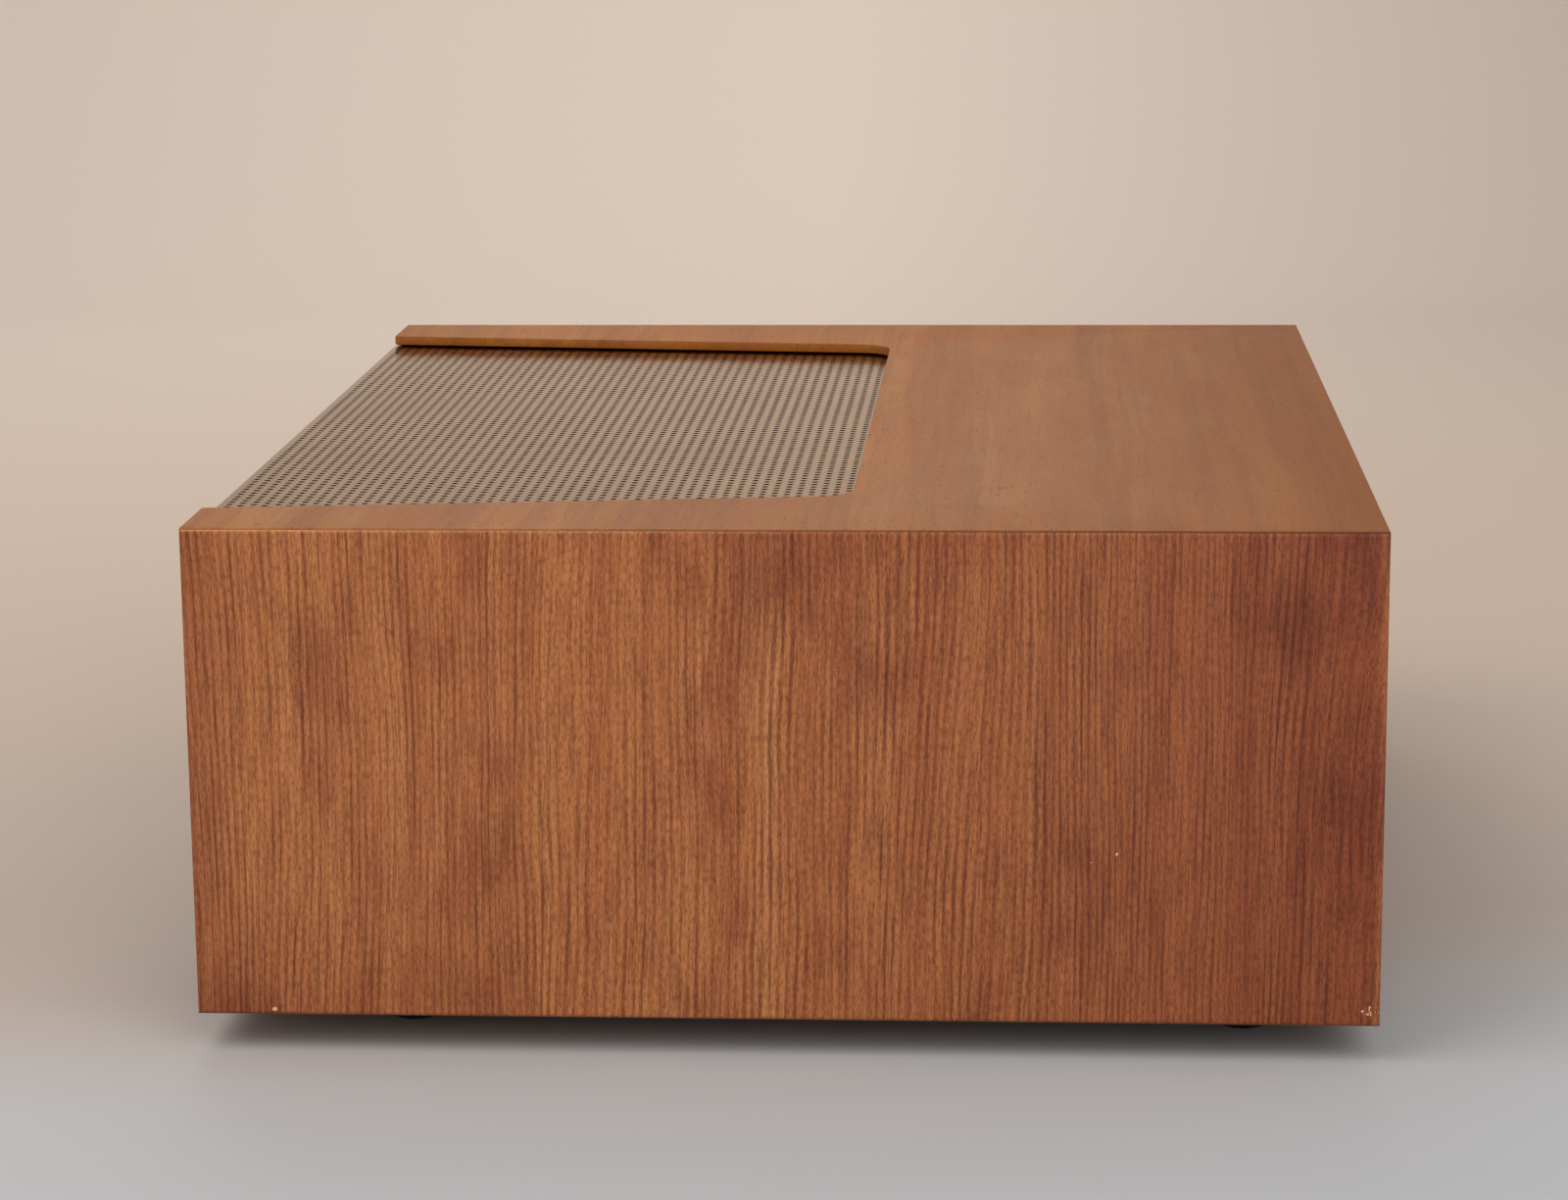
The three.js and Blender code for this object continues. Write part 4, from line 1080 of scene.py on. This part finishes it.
def makePerforationTree():
    # an outline is filled round staggered holes and given its thickness
    tree, source = newTree(
        "perforatedSheet",
        {
            "pitch": "NodeSocketFloat",
            "holeRadius": "NodeSocketFloat",
            "thickness": "NodeSocketFloat",
            "widening": "NodeSocketFloat",
            "halfAtMiddle": "NodeSocketFloat",
            "frontEdge": "NodeSocketFloat",
            "rearEdge": "NodeSocketFloat",
            "level": "NodeSocketFloat",
            "rows": "NodeSocketInt",
            "columns": "NodeSocketInt",
            "holeSides": "NodeSocketInt",
            "material": "NodeSocketMaterial",
        },
    )
    step = addNode(tree, "Math", source["pitch"], math.sqrt(3) / 2, operation="MULTIPLY")
    gapsX = addNode(tree, "Math", source["rows"], 1.0, operation="SUBTRACT")
    gapsY = addNode(tree, "Math", source["columns"], 1.0, operation="SUBTRACT")
    sizeX = addNode(tree, "Math", source["pitch"], gapsX, operation="MULTIPLY")
    sizeY = addNode(tree, "Math", step, gapsY, operation="MULTIPLY")
    net = {"Size X": sizeX, "Size Y": sizeY, "Vertices X": source["rows"], "Vertices Y": source["columns"]}
    grid = addNode(tree, "MeshGrid", net)
    # every other column moves half a pitch across
    here = addNode(tree, "SeparateXYZ", {0: addNode(tree, "InputPosition")}, output="Y")
    halfY = addNode(tree, "Math", sizeY, 0.5, operation="MULTIPLY")
    fromEdge = addNode(tree, "Math", here, halfY, operation="ADD")
    steps = addNode(tree, "Math", fromEdge, step, operation="DIVIDE")
    column = addNode(tree, "Math", steps, operation="ROUND")
    odd = addNode(tree, "Math", column, 2.0, operation="MODULO")
    halfPitch = addNode(tree, "Math", source["pitch"], 0.5, operation="MULTIPLY")
    shiftX = addNode(tree, "Math", odd, halfPitch, operation="MULTIPLY")
    shiftY = addNode(tree, "Math", halfY, source["frontEdge"], operation="ADD")
    offset = addNode(tree, "CombineXYZ", {0: shiftX, 1: shiftY})
    staggered = addNode(tree, "SetPosition", {"Geometry": grid, "Offset": offset})
    # and only the holes inside the cutout are kept
    axes = axesOf(tree, addNode(tree, "InputPosition"))
    limit = {0: axes["Y"], 1: source["widening"], 2: source["halfAtMiddle"]}
    reach = addNode(tree, "Math", limit, operation="MULTIPLY_ADD")
    across = addNode(tree, "Math", axes["X"], operation="ABSOLUTE")
    outside = addNode(tree, "Math", across, reach, operation="GREATER_THAN")
    behind = addNode(tree, "Math", axes["Y"], source["rearEdge"], operation="GREATER_THAN")
    dropped = addNode(tree, "Math", outside, behind, operation="MAXIMUM")
    kept = addNode(tree, "DeleteGeometry", {"Geometry": staggered, "Selection": dropped}, domain="POINT")
    # each hole sits in its own six-sided cell, and the cells meet in one sheet
    circle = {"Resolution": source["holeSides"], "Radius": source["holeRadius"]}
    hole = addNode(tree, "CurvePrimitiveCircle", circle)
    cellRadius = addNode(tree, "Math", source["pitch"], math.sqrt(3), operation="DIVIDE")
    sixSides = addNode(tree, "CurvePrimitiveCircle", {"Resolution": 6, "Radius": cellRadius})
    turned = addNode(tree, "Transform", {"Geometry": sixSides, "Rotation": (0.0, 0.0, math.pi / 6)})
    cell = addNode(tree, "FillCurve", {"Curve": addNode(tree, "JoinGeometry", [hole, turned])})
    reachOut = addNode(tree, "VectorMath", addNode(tree, "InputPosition"), output="Value", operation="LENGTH")
    rim = addNode(tree, "Math", source["holeRadius"], 1.05, operation="MULTIPLY")
    onRim = addNode(tree, "Compare", reachOut, rim, operation="GREATER_THAN")
    note = {"Geometry": cell, "Name": "outer", "Value": onRim}
    marked = addNode(tree, "StoreNamedAttribute", note, data_type="BOOLEAN", domain="POINT")
    cells = addNode(tree, "InstanceOnPoints", {"Points": kept, "Instance": marked})
    field = addNode(tree, "RealizeInstances", cells)
    field = addNode(tree, "MergeByDistance", {"Geometry": field, "Distance": 0.00002})
    # the border fills what is left between the cells and the sheet's outline
    faces = addNode(tree, "InputMeshEdgeNeighbors")
    free = addNode(tree, "Compare", {"A": faces, "B": 1.0}, operation="EQUAL")
    outer = addNode(tree, "InputNamedAttribute", {"Name": "outer"}, data_type="BOOLEAN")
    edge = addNode(tree, "BooleanMath", free, outer, operation="AND")
    fringe = addNode(tree, "SeparateGeometry", {"Geometry": field, "Selection": edge}, domain="EDGE")
    loops = addNode(tree, "MeshToCurve", {"Mesh": fringe})
    outline = addNode(tree, "MeshToCurve", {"Mesh": source["Geometry"]})
    border = addNode(tree, "FillCurve", {"Curve": addNode(tree, "JoinGeometry", [outline, loops])})
    flat = addNode(tree, "JoinGeometry", [field, border])
    filled = addNode(tree, "MergeByDistance", {"Geometry": flat, "Distance": 0.00002})
    rise = addNode(tree, "CombineXYZ", {2: source["level"]})
    raised = addNode(tree, "Transform", {"Geometry": filled, "Translation": rise})
    downwards = addNode(tree, "Math", source["thickness"], -1.0, operation="MULTIPLY")
    drop = addNode(tree, "CombineXYZ", {2: downwards})
    push = {"Mesh": raised, "Offset": drop, "Offset Scale": 1.0, "Individual": False}
    thick = addNode(tree, "ExtrudeMesh", push, mode="FACES")
    flipped = addNode(tree, "FlipFaces", {"Mesh": raised})
    whole = addNode(tree, "JoinGeometry", [thick, flipped])
    endTree(tree, addNode(tree, "MergeByDistance", {"Geometry": whole, "Distance": 0.000002}))
    return tree


def makeCover():
    low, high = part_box("vent_cover")
    yEdge, level = high.y, high.z
    fold, thickness = cover["foldRadius"] * mm, cover["thickness"] * mm
    plan = ventPlan(cover["overlap"] * mm, yEdge - fold, sleeve["ventCorner"] * mm)
    work = bmesh.new()
    corners = [work.verts.new((x, y, 0)) for x, y in plan]
    for index, corner in enumerate(corners):
        work.edges.new((corner, corners[(index + 1) % len(corners)]))
    sheet = newPiece("coverSheet", meshFrom("coverSheet", work))
    pitch, under = cover["pitch"] * mm, cover["underLip"] * mm
    rearLimit = cabinetRear - cover["rearMargin"] * mm
    step = pitch * math.sqrt(3) / 2
    columns = math.ceil(sleeve["ventDepth"] * mm / step)
    values = {
        "pitch": pitch,
        "holeRadius": cover["holeDiameter"] * mm / 2,
        "thickness": thickness,
        "widening": ventHalf(1.0) - ventHalf(0.0),
        "halfAtMiddle": ventHalf(0.0) + under,
        "frontEdge": rearLimit - (columns - 1) * step,
        "rearEdge": rearLimit + step / 2,
        "level": level,
        "rows": 2 * math.ceil(halfWidth / pitch) + 1,
        "columns": columns,
        "holeSides": cover["holeSides"],
        "material": coverMetal,
    }
    runTree(sheet, makePerforationTree(), values)
    # the rear edge folds down in a small radius
    bendY, bendZ, inner = yEdge - fold, level - fold, fold - thickness
    turns = [math.pi / 2 * index / cover["foldSteps"] for index in range(cover["foldSteps"] + 1)]
    upper = [(bendY + fold * math.sin(turn), bendZ + fold * math.cos(turn)) for turn in turns[1:]]
    under = [(bendY + inner * math.sin(turn), bendZ + inner * math.cos(turn)) for turn in turns[::-1]]
    section = [(bendY, level), *upper, (yEdge, low.z), (yEdge - thickness, low.z), *under]
    half = ventHalf(cabinetRear) - cover["sideGap"] * mm
    flange = outlineSolid("flange", section, -half, half, "y")
    # the section was drawn along Y with its points in X: a quarter turn brings it round
    flange.transform(Matrix.Rotation(math.pi / 2, 4, "Z"))
    whole = joined("ventCover", [sheet.data, flange], [coverMetal, coverMetal])
    bpy.data.objects.remove(sheet)
    smoothByAngle(whole.data, 28)
    settle(whole, "case", "vent_cover_metal", "vent_cover")
    print("cover has", sum(len(face.vertices) - 2 for face in whole.data.polygons), "triangles")


makeCover()


# Knobs, levers and the other front controls

knobValues = {
    "rim": 3.6,  # millimetres
    "dish": 0.6,
    "chamfer": 1.2,
    "fluteDepth": 0.45,
    "fluteSpacing": 2.9,
    "pointerWidth": 1.3,
    "recessRadius": 7.5,
    "recessDepth": 4.0,
    "boreRadius": 3.35,
    "boreDepth": 13.0,
}
knobs = {"selector": 0.0, "bass": 0.0, "treble": 0.0, "balance": 0.0, "volume": -150.0}  # pointer, degrees


def makeKnob(name, pointerAngle):
    low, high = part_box(name + "_knob")
    radius = (high.x - low.x) / 2 / mm
    depth = (high.y - low.y) / mm
    v = knobValues
    dish, face = radius - v["rim"], depth - v["dish"]
    profile = [
        (0, face), (dish * 0.5, face), (dish, face), (dish + 0.7, depth),
        (radius - v["chamfer"] - 0.25, depth), (radius - 0.25, depth - v["chamfer"]),
        (radius - 0.25, depth - 2.6), (radius - 0.95, depth - 2.9), (radius - 0.95, depth - 3.6),
        (radius, depth - 3.9), (radius, depth - 6.0), (radius, depth - 9.0), (radius, 2.4),
        (radius - 0.3, 1.2), (radius - 0.9, 0), (v["recessRadius"], 0),
        (v["recessRadius"], v["recessDepth"]), (v["boreRadius"], v["recessDepth"]),
        (v["boreRadius"], v["boreDepth"]), (0, v["boreDepth"]),
    ]
    count = round(2 * math.pi * radius / v["fluteSpacing"])
    flutes = {"from": 2.3, "to": depth - 3.85, "depth": v["fluteDepth"], "count": count}
    knob = turnedMesh(name, rounded(profile, 0.3, 2), count * 6, flutes=flutes)
    # a groove filled with black enamel shows where the knob points
    half = v["pointerWidth"] / 2
    start, end = radius * 0.42, radius - 0.9
    grooveLow = Vector((-half, start, depth - 1.4)) * mm
    grooveHigh = Vector((half, end + 4, depth + 1)) * mm
    groove = boxMesh("groove", grooveLow, grooveHigh)
    turn = Matrix.Rotation(math.radians(-pointerAngle), 4, "Z")
    knob = cutAway(knob, moved(groove, turn))
    smoothByAngle(knob)
    fillLow = Vector((-half * 0.98, start + 0.02, depth - 1.4)) * mm
    fillHigh = Vector((half * 0.98, radius - 1.3, depth - v["dish"] - 0.15)) * mm
    enamel = moved(boxMesh("enamel", fillLow, fillHigh, 0.08 * mm), turn)
    place = onFront(name + "_knob", high.y)
    meshes = [moved(knob, place), moved(enamel, place)]
    whole = joined(name + "Knob", meshes, [knobAluminium, blackInk])
    settle(whole, name + "_knob", "knob_aluminium", name + "_knob")


for knobName, pointerAngle in knobs.items():
    makeKnob(knobName, pointerAngle)
print("knobs are made")

leverValues = {
    "tilt": 12.0,  # degrees below level at rest
    "reach": 16.0,
    "tail": 4.0,
    "stem": 1.4,
    "tip": 2.6,
    "pivotY": -141.1,
    "nutRadius": 8.2,
    "nutHeight": 2.0,
    "nutBore": 5.65,
}
levers = ["tape_monitor", "low_filter", "high_filter", "speaker"]


def camel(name):
    first, *others = name.split("_")
    return first + "".join(word.capitalize() for word in others)


def makeLevers():
    v = leverValues
    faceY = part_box("front_panel")[0].y
    stem, tail = v["stem"], v["tail"]
    profile = [(0, -tail), (stem * 0.9, 0.2 - tail), (stem, 0), (stem, 5), (stem * 0.86, 7), (stem * 1.05, 9.5)]
    ball = v["reach"] - v["tip"] * 1.35
    for step in range(1, 9):
        angle = math.pi * (0.22 + 0.78 * step / 8)
        width = v["tip"] * math.sin(angle) if step < 8 else 0
        profile.append((width, ball - 1.35 * v["tip"] * math.cos(angle)))
    centres = []
    for name in levers:
        low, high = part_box(name + "_lever")
        x = (low.x + high.x) / 2
        z = centreOf(name + "_switch").z
        centres.append(Vector((x, faceY, z)))
        mesh = turnedMesh(name, profile, 28)
        lean = Matrix.Rotation(math.radians(v["tilt"]), 4, "X")
        place = Matrix.Translation(Vector((x, v["pivotY"] * mm, z))) @ lean @ facingFront
        piece = newPiece(camel(name) + "Lever", moved(mesh, place), brightChrome)
        settle(piece, name + "_lever", "chrome", name + "_lever")
    ring = [(v["nutBore"], 0), (v["nutRadius"], 0), (v["nutRadius"], v["nutHeight"] * 0.7)]
    ring += [(v["nutRadius"] - 0.8, v["nutHeight"]), (v["nutBore"], v["nutHeight"])]
    flutes = {"from": 0.0, "to": v["nutHeight"] * 0.75, "depth": 0.4, "count": 24}
    nut = turnedMesh("nut", rounded(ring, 0.15, 2, closed=True), 96, closed=True, flutes=flutes)
    nuts = newPiece("leverNuts", copiesOf("leverNuts", nut, centres, facingFront, turnedSteel))
    settle(nuts, "case", "plated_steel")


makeLevers()
print("levers are made")


buttonValues = {"dish": 0.7, "chamfer": 0.8, "stemRadius": 2.0, "stemLength": 7.0}  # millimetres

def makePowerButton():
    # turned from the end of its stem to its dished face
    low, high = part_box("power_button")
    radius, depth = (high.x - low.x) / 2 / mm, (high.y - low.y) / mm
    stem, shoulder, dish = buttonValues["stemRadius"], buttonValues["stemLength"], buttonValues["dish"]
    profile = [
        (0, depth - dish), (radius - 2.2, depth - dish / 2), (radius - 1.2, depth), (radius - 0.5, depth - 0.15),
        (radius, depth - buttonValues["chamfer"]), (radius, shoulder), (stem, shoulder), (stem, 0), (0, 0),
    ]
    mesh = moved(turnedMesh("powerButton", rounded(profile, 0.3), 48), onFront("power_button", high.y))
    settle(newPiece("powerButton", mesh, knobAluminium), "power_button", "knob_aluminium", "power_button")

def makePilotLens(dome=2.2, steps=7):
    # a dome on a short cylinder
    low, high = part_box("pilot_lens")
    radius, depth = (high.x - low.x) / 2 / mm, (high.y - low.y) / mm
    profile = [(0, 0), (radius, 0), (radius, depth - dome)]
    for step in range(1, steps + 1):
        angle = math.pi / 2 * step / steps
        width = radius * math.cos(angle) if step < steps else 0
        profile.append((width, depth - dome + dome * math.sin(angle)))
    mesh = moved(turnedMesh("pilotLens", profile, 40), onFront("pilot_lens", high.y))
    settle(newPiece("pilotLens", mesh, amber), "case", "pilot_lens", "pilot_lens")

ringValues = [
    # name, node inside, gap round it and width, millimetres
    ("buttonRing", "power_button", 0.6, 1.8),
    ("lensRing", "pilot_lens", 0.15, 1.75),
]

def makeRings():
    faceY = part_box("front_panel")[0].y
    for name, node, gap, width in ringValues:
        low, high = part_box(node)
        bore = (high.x - low.x) / 2 / mm + gap
        outer = bore + width
        ring = [(bore, 0.02), (outer, 0.02), (outer, 0.6), (outer - 0.7, 1.1), (bore, 1.1)]
        mesh = turnedMesh(name, rounded(ring, 0.2, 3, closed=True), 48, closed=True)
        settle(newPiece(name, moved(mesh, onFront(node, faceY)), brightChrome), "case", "chrome")

jackValues = {
    "nutRadius": 7.9,  # millimetres
    "nutHeight": 2.5,
    "nutBore": 4.85,
    "bore": 3.3,
    "crest": 4.8,
    "root": 4.5,
    "threadPitch": 0.6,
    "threads": 7,
}

def makeHeadphoneJack():
    # a bevelled hexagonal nut on a threaded bushing, with the moulded body behind
    low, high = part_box("headphone_jack")
    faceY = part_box("front_panel")[0].y
    toFace = onFront("headphone_jack", faceY)
    proud = (faceY - low.y) / mm
    v = jackValues
    nut = prism("jackNut", 6, v["nutRadius"], 0.02, v["nutHeight"], 0.45, v["nutBore"])
    profile = [(v["bore"], proud), (3.9, proud), (v["crest"], proud - 0.6)]
    for thread in range(v["threads"]):
        level = proud - thread * v["threadPitch"]
        profile += [(v["crest"], level - 0.7), (v["root"], level - 1.0)]
    profile += [(v["crest"], -5.0), (v["crest"], -14.0), (v["bore"], -14.0)]
    barrel = turnedMesh("jackBarrel", profile, 40, True)
    well = turnedMesh("well", [(0, -33), (3.4, -33), (3.4, 5), (0, 5)], 32)
    bodyLow = Vector((low.x, faceY + 5 * mm, low.z))
    body = cutAway(boxMesh("jackBody", bodyLow, high, 0.6 * mm), moved(well, toFace))
    smoothByAngle(body, 40)
    meshes = [body, moved(nut, toFace), moved(barrel, toFace)]
    jack = joined("headphoneJack", meshes, [blackMoulding, turnedSteel, turnedSteel])
    settle(jack, "case", "plated_steel", "headphone_jack")

def makeFasciaScrews():
    # one in each corner of the fascia
    low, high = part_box("front_panel")
    inset = 7 * mm
    levels = (low.z + inset, high.z - inset)
    corners = [Vector((x, low.y, z)) for x in (low.x + inset, high.x - inset) for z in levels]
    mesh = copiesOf("fasciaScrews", screwHead(2.8, 1.5), corners, facingFront, screwSteel, anyTurn, 5)
    settle(newPiece("fasciaScrews", mesh), "case", "plated_steel")

makePowerButton()
makePilotLens()
makeRings()
makeHeadphoneJack()
makeFasciaScrews()
print("front controls are made")

# Marks round the knobs

marks = {
    "gap": 3.0,  # millimetres from the knob's edge
    "length": 3.2,
    "width": 0.55,
    "proud": 0.12,
    "dials": [("selector", 5, 120.0), ("bass", 11, 300.0), ("treble", 11, 300.0), ("balance", 11, 300.0),
              ("volume", 11, 300.0)],
}


def makeMarksTree():
    tree, source = newTree(
        "dialMarks",
        {
            "count": "NodeSocketInt",
            "sweep": "NodeSocketFloat",
            "radius": "NodeSocketFloat",
            "centre": "NodeSocketVector",
            "size": "NodeSocketVector",
            "material": "NodeSocketMaterial",
        },
    )
    row = addNode(tree, "MeshLine", {"Count": source["count"]})
    index = addNode(tree, "InputIndex")
    gaps = addNode(tree, "Math", source["count"], 1.0, operation="SUBTRACT")
    part = addNode(tree, "Math", index, gaps, operation="DIVIDE")
    fromMiddle = addNode(tree, "Math", part, 0.5, operation="SUBTRACT")
    angle = addNode(tree, "Math", source["sweep"], fromMiddle, operation="MULTIPLY")
    reaches = {}
    for axis, operation in ((0, "SINE"), (2, "COSINE")):
        share = addNode(tree, "Math", angle, operation=operation)
        reaches[axis] = addNode(tree, "Math", source["radius"], share, operation="MULTIPLY")
    place = addNode(tree, "CombineXYZ", reaches)
    centred = addNode(tree, "VectorMath", {0: place, 1: source["centre"]}, operation="ADD")
    ring = addNode(tree, "SetPosition", {"Geometry": row, "Position": centred})
    bar = addNode(tree, "MeshCube", {"Size": source["size"]})
    turn = addNode(tree, "CombineXYZ", {1: angle})
    copies = addNode(tree, "InstanceOnPoints", {"Points": ring, "Instance": bar, "Rotation": turn})
    endTree(tree, copies)
    return tree


def makeMarks():
    tree = makeMarksTree()
    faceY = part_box("front_panel")[0].y
    meshes = []
    for name, count, sweep in marks["dials"]:
        centre = centreOf(name + "_knob")
        low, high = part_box(name + "_knob")
        radius = (high.x - low.x) / 2 + (marks["gap"] + marks["length"] / 2) * mm
        base = bpy.data.meshes.new("dial")
        piece = newPiece("dial", base)
        values = {
            "count": count,
            "sweep": math.radians(sweep),
            "radius": radius,
            "centre": (centre.x, faceY - marks["proud"] / 2 * mm, centre.z),
            "size": (marks["width"] * mm, marks["proud"] * mm, marks["length"] * mm),
            "material": blackInk,
        }
        runTree(piece, tree, values)
        meshes.append(piece.data)
        bpy.data.objects.remove(piece)
    whole = joined("dialMarks", meshes, [blackInk] * len(meshes))
    settle(whole, "case", "black_moulding")


makeMarks()


# Rear sockets, terminals, fuse and inlet

rear = {
    "socketColumns": (-151.0, -129.0, -107.0, -85.0),  # millimetres
    "socketRows": (70.0, 92.0),
    "shellRadius": 4.2,
    "shellWall": 0.5,
    "shellLength": 9.0,
    "boreRadius": 1.6,
    "boardThickness": 2.0,
    "terminalPlaces": (-23.0, -9.0, 5.0, 19.0),
    "terminalBase": 5.0,
    "pinPlaces": ((-7, -2), (0, 2), (7, -2)),
    "earPlaces": (-20, 20),
    "screwPlaces": (-170, -56, 56, 170),
}


def makeSockets():
    # turned shells on a paper board, each round an insulator: ivory in the upper row, red in the lower
    low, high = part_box("input_jacks")
    face = low.y + rear["boardThickness"] * mm
    places = [Vector((x * mm, face, z * mm)) for x in rear["socketColumns"] for z in rear["socketRows"]]
    board = boxMesh("socketBoard", low, Vector((high.x, face, high.z)), 0.3 * mm)
    outer, length, bore = rear["shellRadius"], rear["shellLength"], rear["boreRadius"]
    inner, flange = outer - rear["shellWall"], outer + 1.6
    ring = [(inner, 0.4), (flange, 0.0), (flange, 0.9), (outer, 1.2), (outer, length), (inner, length)]
    shell = turnedMesh("shell", rounded(ring, 0.15, 2, True), 32, True)
    ring = [(bore, 0.3), (inner, 0.3), (inner, length - 1.6), (bore, length - 1.6)]
    insulator = turnedMesh("insulator", rounded(ring, 0.12, 2, True), 28, True)
    parts = [board, copiesOf("shells", shell, places, facingRear, turnedSteel)]
    finishes = [paperBoard, turnedSteel]
    for first, finish in ((1, ivoryMoulding), (0, redMoulding)):
        parts.append(copiesOf("insulators", insulator.copy(), places[first::2], facingRear, finish))
        finishes.append(finish)
    settle(joined("inputSockets", parts, finishes), "case", "plated_steel", "input_jacks")

def makeTerminalScrews():
    # clamp screws and plates in the bays of the speaker terminals
    low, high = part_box("speaker_terminals")
    bay, middle = low.y + rear["terminalBase"] * mm, (low.z + high.z) / 2
    face = bay + 0.85 * mm
    plates = []
    for x in rear["terminalPlaces"]:
        plateLow = Vector((x * mm - 4.6 * mm, bay + 0.05 * mm, middle - 9 * mm))
        plateHigh = Vector((x * mm + 4.6 * mm, face, middle + 9 * mm))
        plates.append(boxMesh("plate", plateLow, plateHigh, 0.2 * mm))
    heads = [Vector((x * mm, face, middle)) for x in rear["terminalPlaces"]]
    screws = copiesOf("terminalScrews", screwHead(3.6, 2.4), heads, facingRear, screwSteel, anyTurn, 11)
    piece = joined("terminalScrews", plates + [screws], [platedStrip] * len(plates) + [screwSteel])
    settle(piece, "case", "plated_steel")

def makeInletPins():
    # three flat pins in the inlet, and the two screws in its ears
    high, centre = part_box("mains_inlet")[1], centreOf("mains_inlet")
    pins = []
    for x, rise in rear["pinPlaces"]:
        corner = Vector((centre.x + x * mm, high.y, centre.z + rise * mm))
        pinLow = corner + Vector((-1.1, -17.0, -2.1)) * mm
        pinHigh = corner + Vector((1.1, -5.9, 2.1)) * mm
        pins.append(boxMesh("pin", pinLow, pinHigh, 0.45 * mm, 3))
    ears = [Vector((centre.x + x * mm, high.y, centre.z)) for x in rear["earPlaces"]]
    screws = copiesOf("inletScrews", screwHead(3.0, 1.7), ears, facingRear, screwSteel, anyTurn, 8)
    piece = joined("inletPins", pins + [screws], [platedStrip] * len(pins) + [screwSteel])
    settle(piece, "case", "plated_steel")

def makeFuseCap():
    # a fluted rim and a slot for a coin
    low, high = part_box("fuse_cap")
    radius, tail = (high.x - low.x) / 2 / mm, (low.y - high.y) / mm
    profile = [
        (0, 0), (radius - 1.2, 0), (radius - 0.2, -0.8), (radius, -1.6), (radius, -8.4),
        (radius - 0.5, -9.0), (4.0, -9.0), (4.0, tail), (0, tail),
    ]
    flutes = {"from": -8.5, "to": -1.5, "depth": 0.4, "count": 24}
    slot = boxMesh("slot", Vector((-9, -0.65, -1.6)) * mm, Vector((9, 0.65, 1)) * mm)
    cap = cutAway(turnedMesh("fuseCap", rounded(profile, 0.2, 2), 144, flutes=flutes), slot)
    smoothByAngle(cap)
    centre = centreOf("fuse_cap")
    toFace = Matrix.Translation(Vector((centre.x, high.y, centre.z))) @ facingRear
    settle(newPiece("fuseCap", moved(cap, toFace), blackMoulding), "fuse_cap", "black_moulding", "fuse_cap")

def makeRearScrews():
    # along the top and the bottom of the rear panel
    low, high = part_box("rear_panel")
    levels = (low.z + 6 * mm, high.z - 7 * mm)
    places = [Vector((x * mm, high.y, z)) for x in rear["screwPlaces"] for z in levels]
    mesh = copiesOf("rearScrews", screwHead(3.0, 1.7), places, facingRear, screwSteel, anyTurn, 21)
    settle(newPiece("rearScrews", mesh), "case", "plated_steel")

makeSockets()
makeTerminalScrews()
makeInletPins()
makeFuseCap()
makeRearScrews()
print("rear sockets are made")

# Feet and underside

foot = {"topRadius": 10.0, "bottomRadius": 7.5, "bevel": 1.0, "recessRadius": 5.0, "recessDepth": 4.0}


def makeFeet():
    for corner in ("front_left", "front_right", "rear_left", "rear_right"):
        low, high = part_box("foot_" + corner)
        height, v = (high.z - low.z) / mm, foot
        recess, sole = v["recessRadius"], v["bottomRadius"]
        profile = [
            (1.9, v["recessDepth"]), (recess, v["recessDepth"]), (recess, 0.3), (recess + 0.4, 0),
            (sole - v["bevel"], 0), (sole, v["bevel"]), (v["topRadius"] - 0.7, height - 2.4),
            (v["topRadius"], height - 1.6), (v["topRadius"], height), (1.9, height),
        ]
        mesh = turnedMesh("foot", rounded(profile, 0.5, 3, True), 48, True)
        centre = (low + high) / 2
        place = Matrix.Translation(Vector((centre.x, centre.y, low.z)))
        piece = newPiece(camel("foot_" + corner), moved(mesh, place), blackRubber)
        settle(piece, "case", "foot_rubber", "foot_" + corner)
        screwLow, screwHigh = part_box("foot_screw_" + corner)
        top = (low.z + v["recessDepth"] * mm) / mm
        head = moved(screwHead(4.0, 2.2), facingDown)
        shank = turnedMesh("shank", [(0, 0), (1.8, 0), (1.8, 16), (0, 17.5)], 20)
        screwPlace = Matrix.Translation(Vector((centre.x, centre.y, (top - 0.3) * mm)))
        meshes = [moved(head, screwPlace), moved(shank, screwPlace)]
        screw = joined(camel("foot_screw_" + corner), meshes, [screwSteel, screwSteel])
        settle(screw, "case", "plated_steel", "foot_screw_" + corner)
    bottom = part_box("bottom_panel")[0].z
    places = [Vector((x * mm, y * mm, bottom)) for x in (-118, 118) for y in (-134, 0, 134)]
    mesh = copiesOf("chassisScrews", screwHead(4.0, 2.2), places, facingDown, screwSteel, anyTurn, 31)
    settle(newPiece("chassisScrews", mesh), "case", "plated_steel")


makeFeet()
print("feet are made")


# The frame's own parts keep their shape and take these finishes

keptFinishes = {
    "cover_batten_left": plywood,
    "cover_batten_right": plywood,
    "cover_batten_front": plywood,
    "front_panel": panelAluminium,
    "chassis_tray": lacqueredSteel,
    "power_switch": blackMoulding,
    "lamp_holder": blackMoulding,
    "speaker_terminals": blackMoulding,
    "mains_inlet": blackMoulding,
    "fuse_holder": blackMoulding,
    "power_transformer": laminations,
    "smoothing_capacitor_front": canSleeve,
    "smoothing_capacitor_rear": canSleeve,
    "heat_sink_left_channel": blackAluminium,
    "heat_sink_right_channel": blackAluminium,
    "power_amplifier_board": paperBoard,
    "tone_control_board": paperBoard,
}
for nodeName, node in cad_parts.items():
    for materialSlot in node.material_slots:
        materialSlot.material = keptFinishes.get(nodeName, zincSteel)
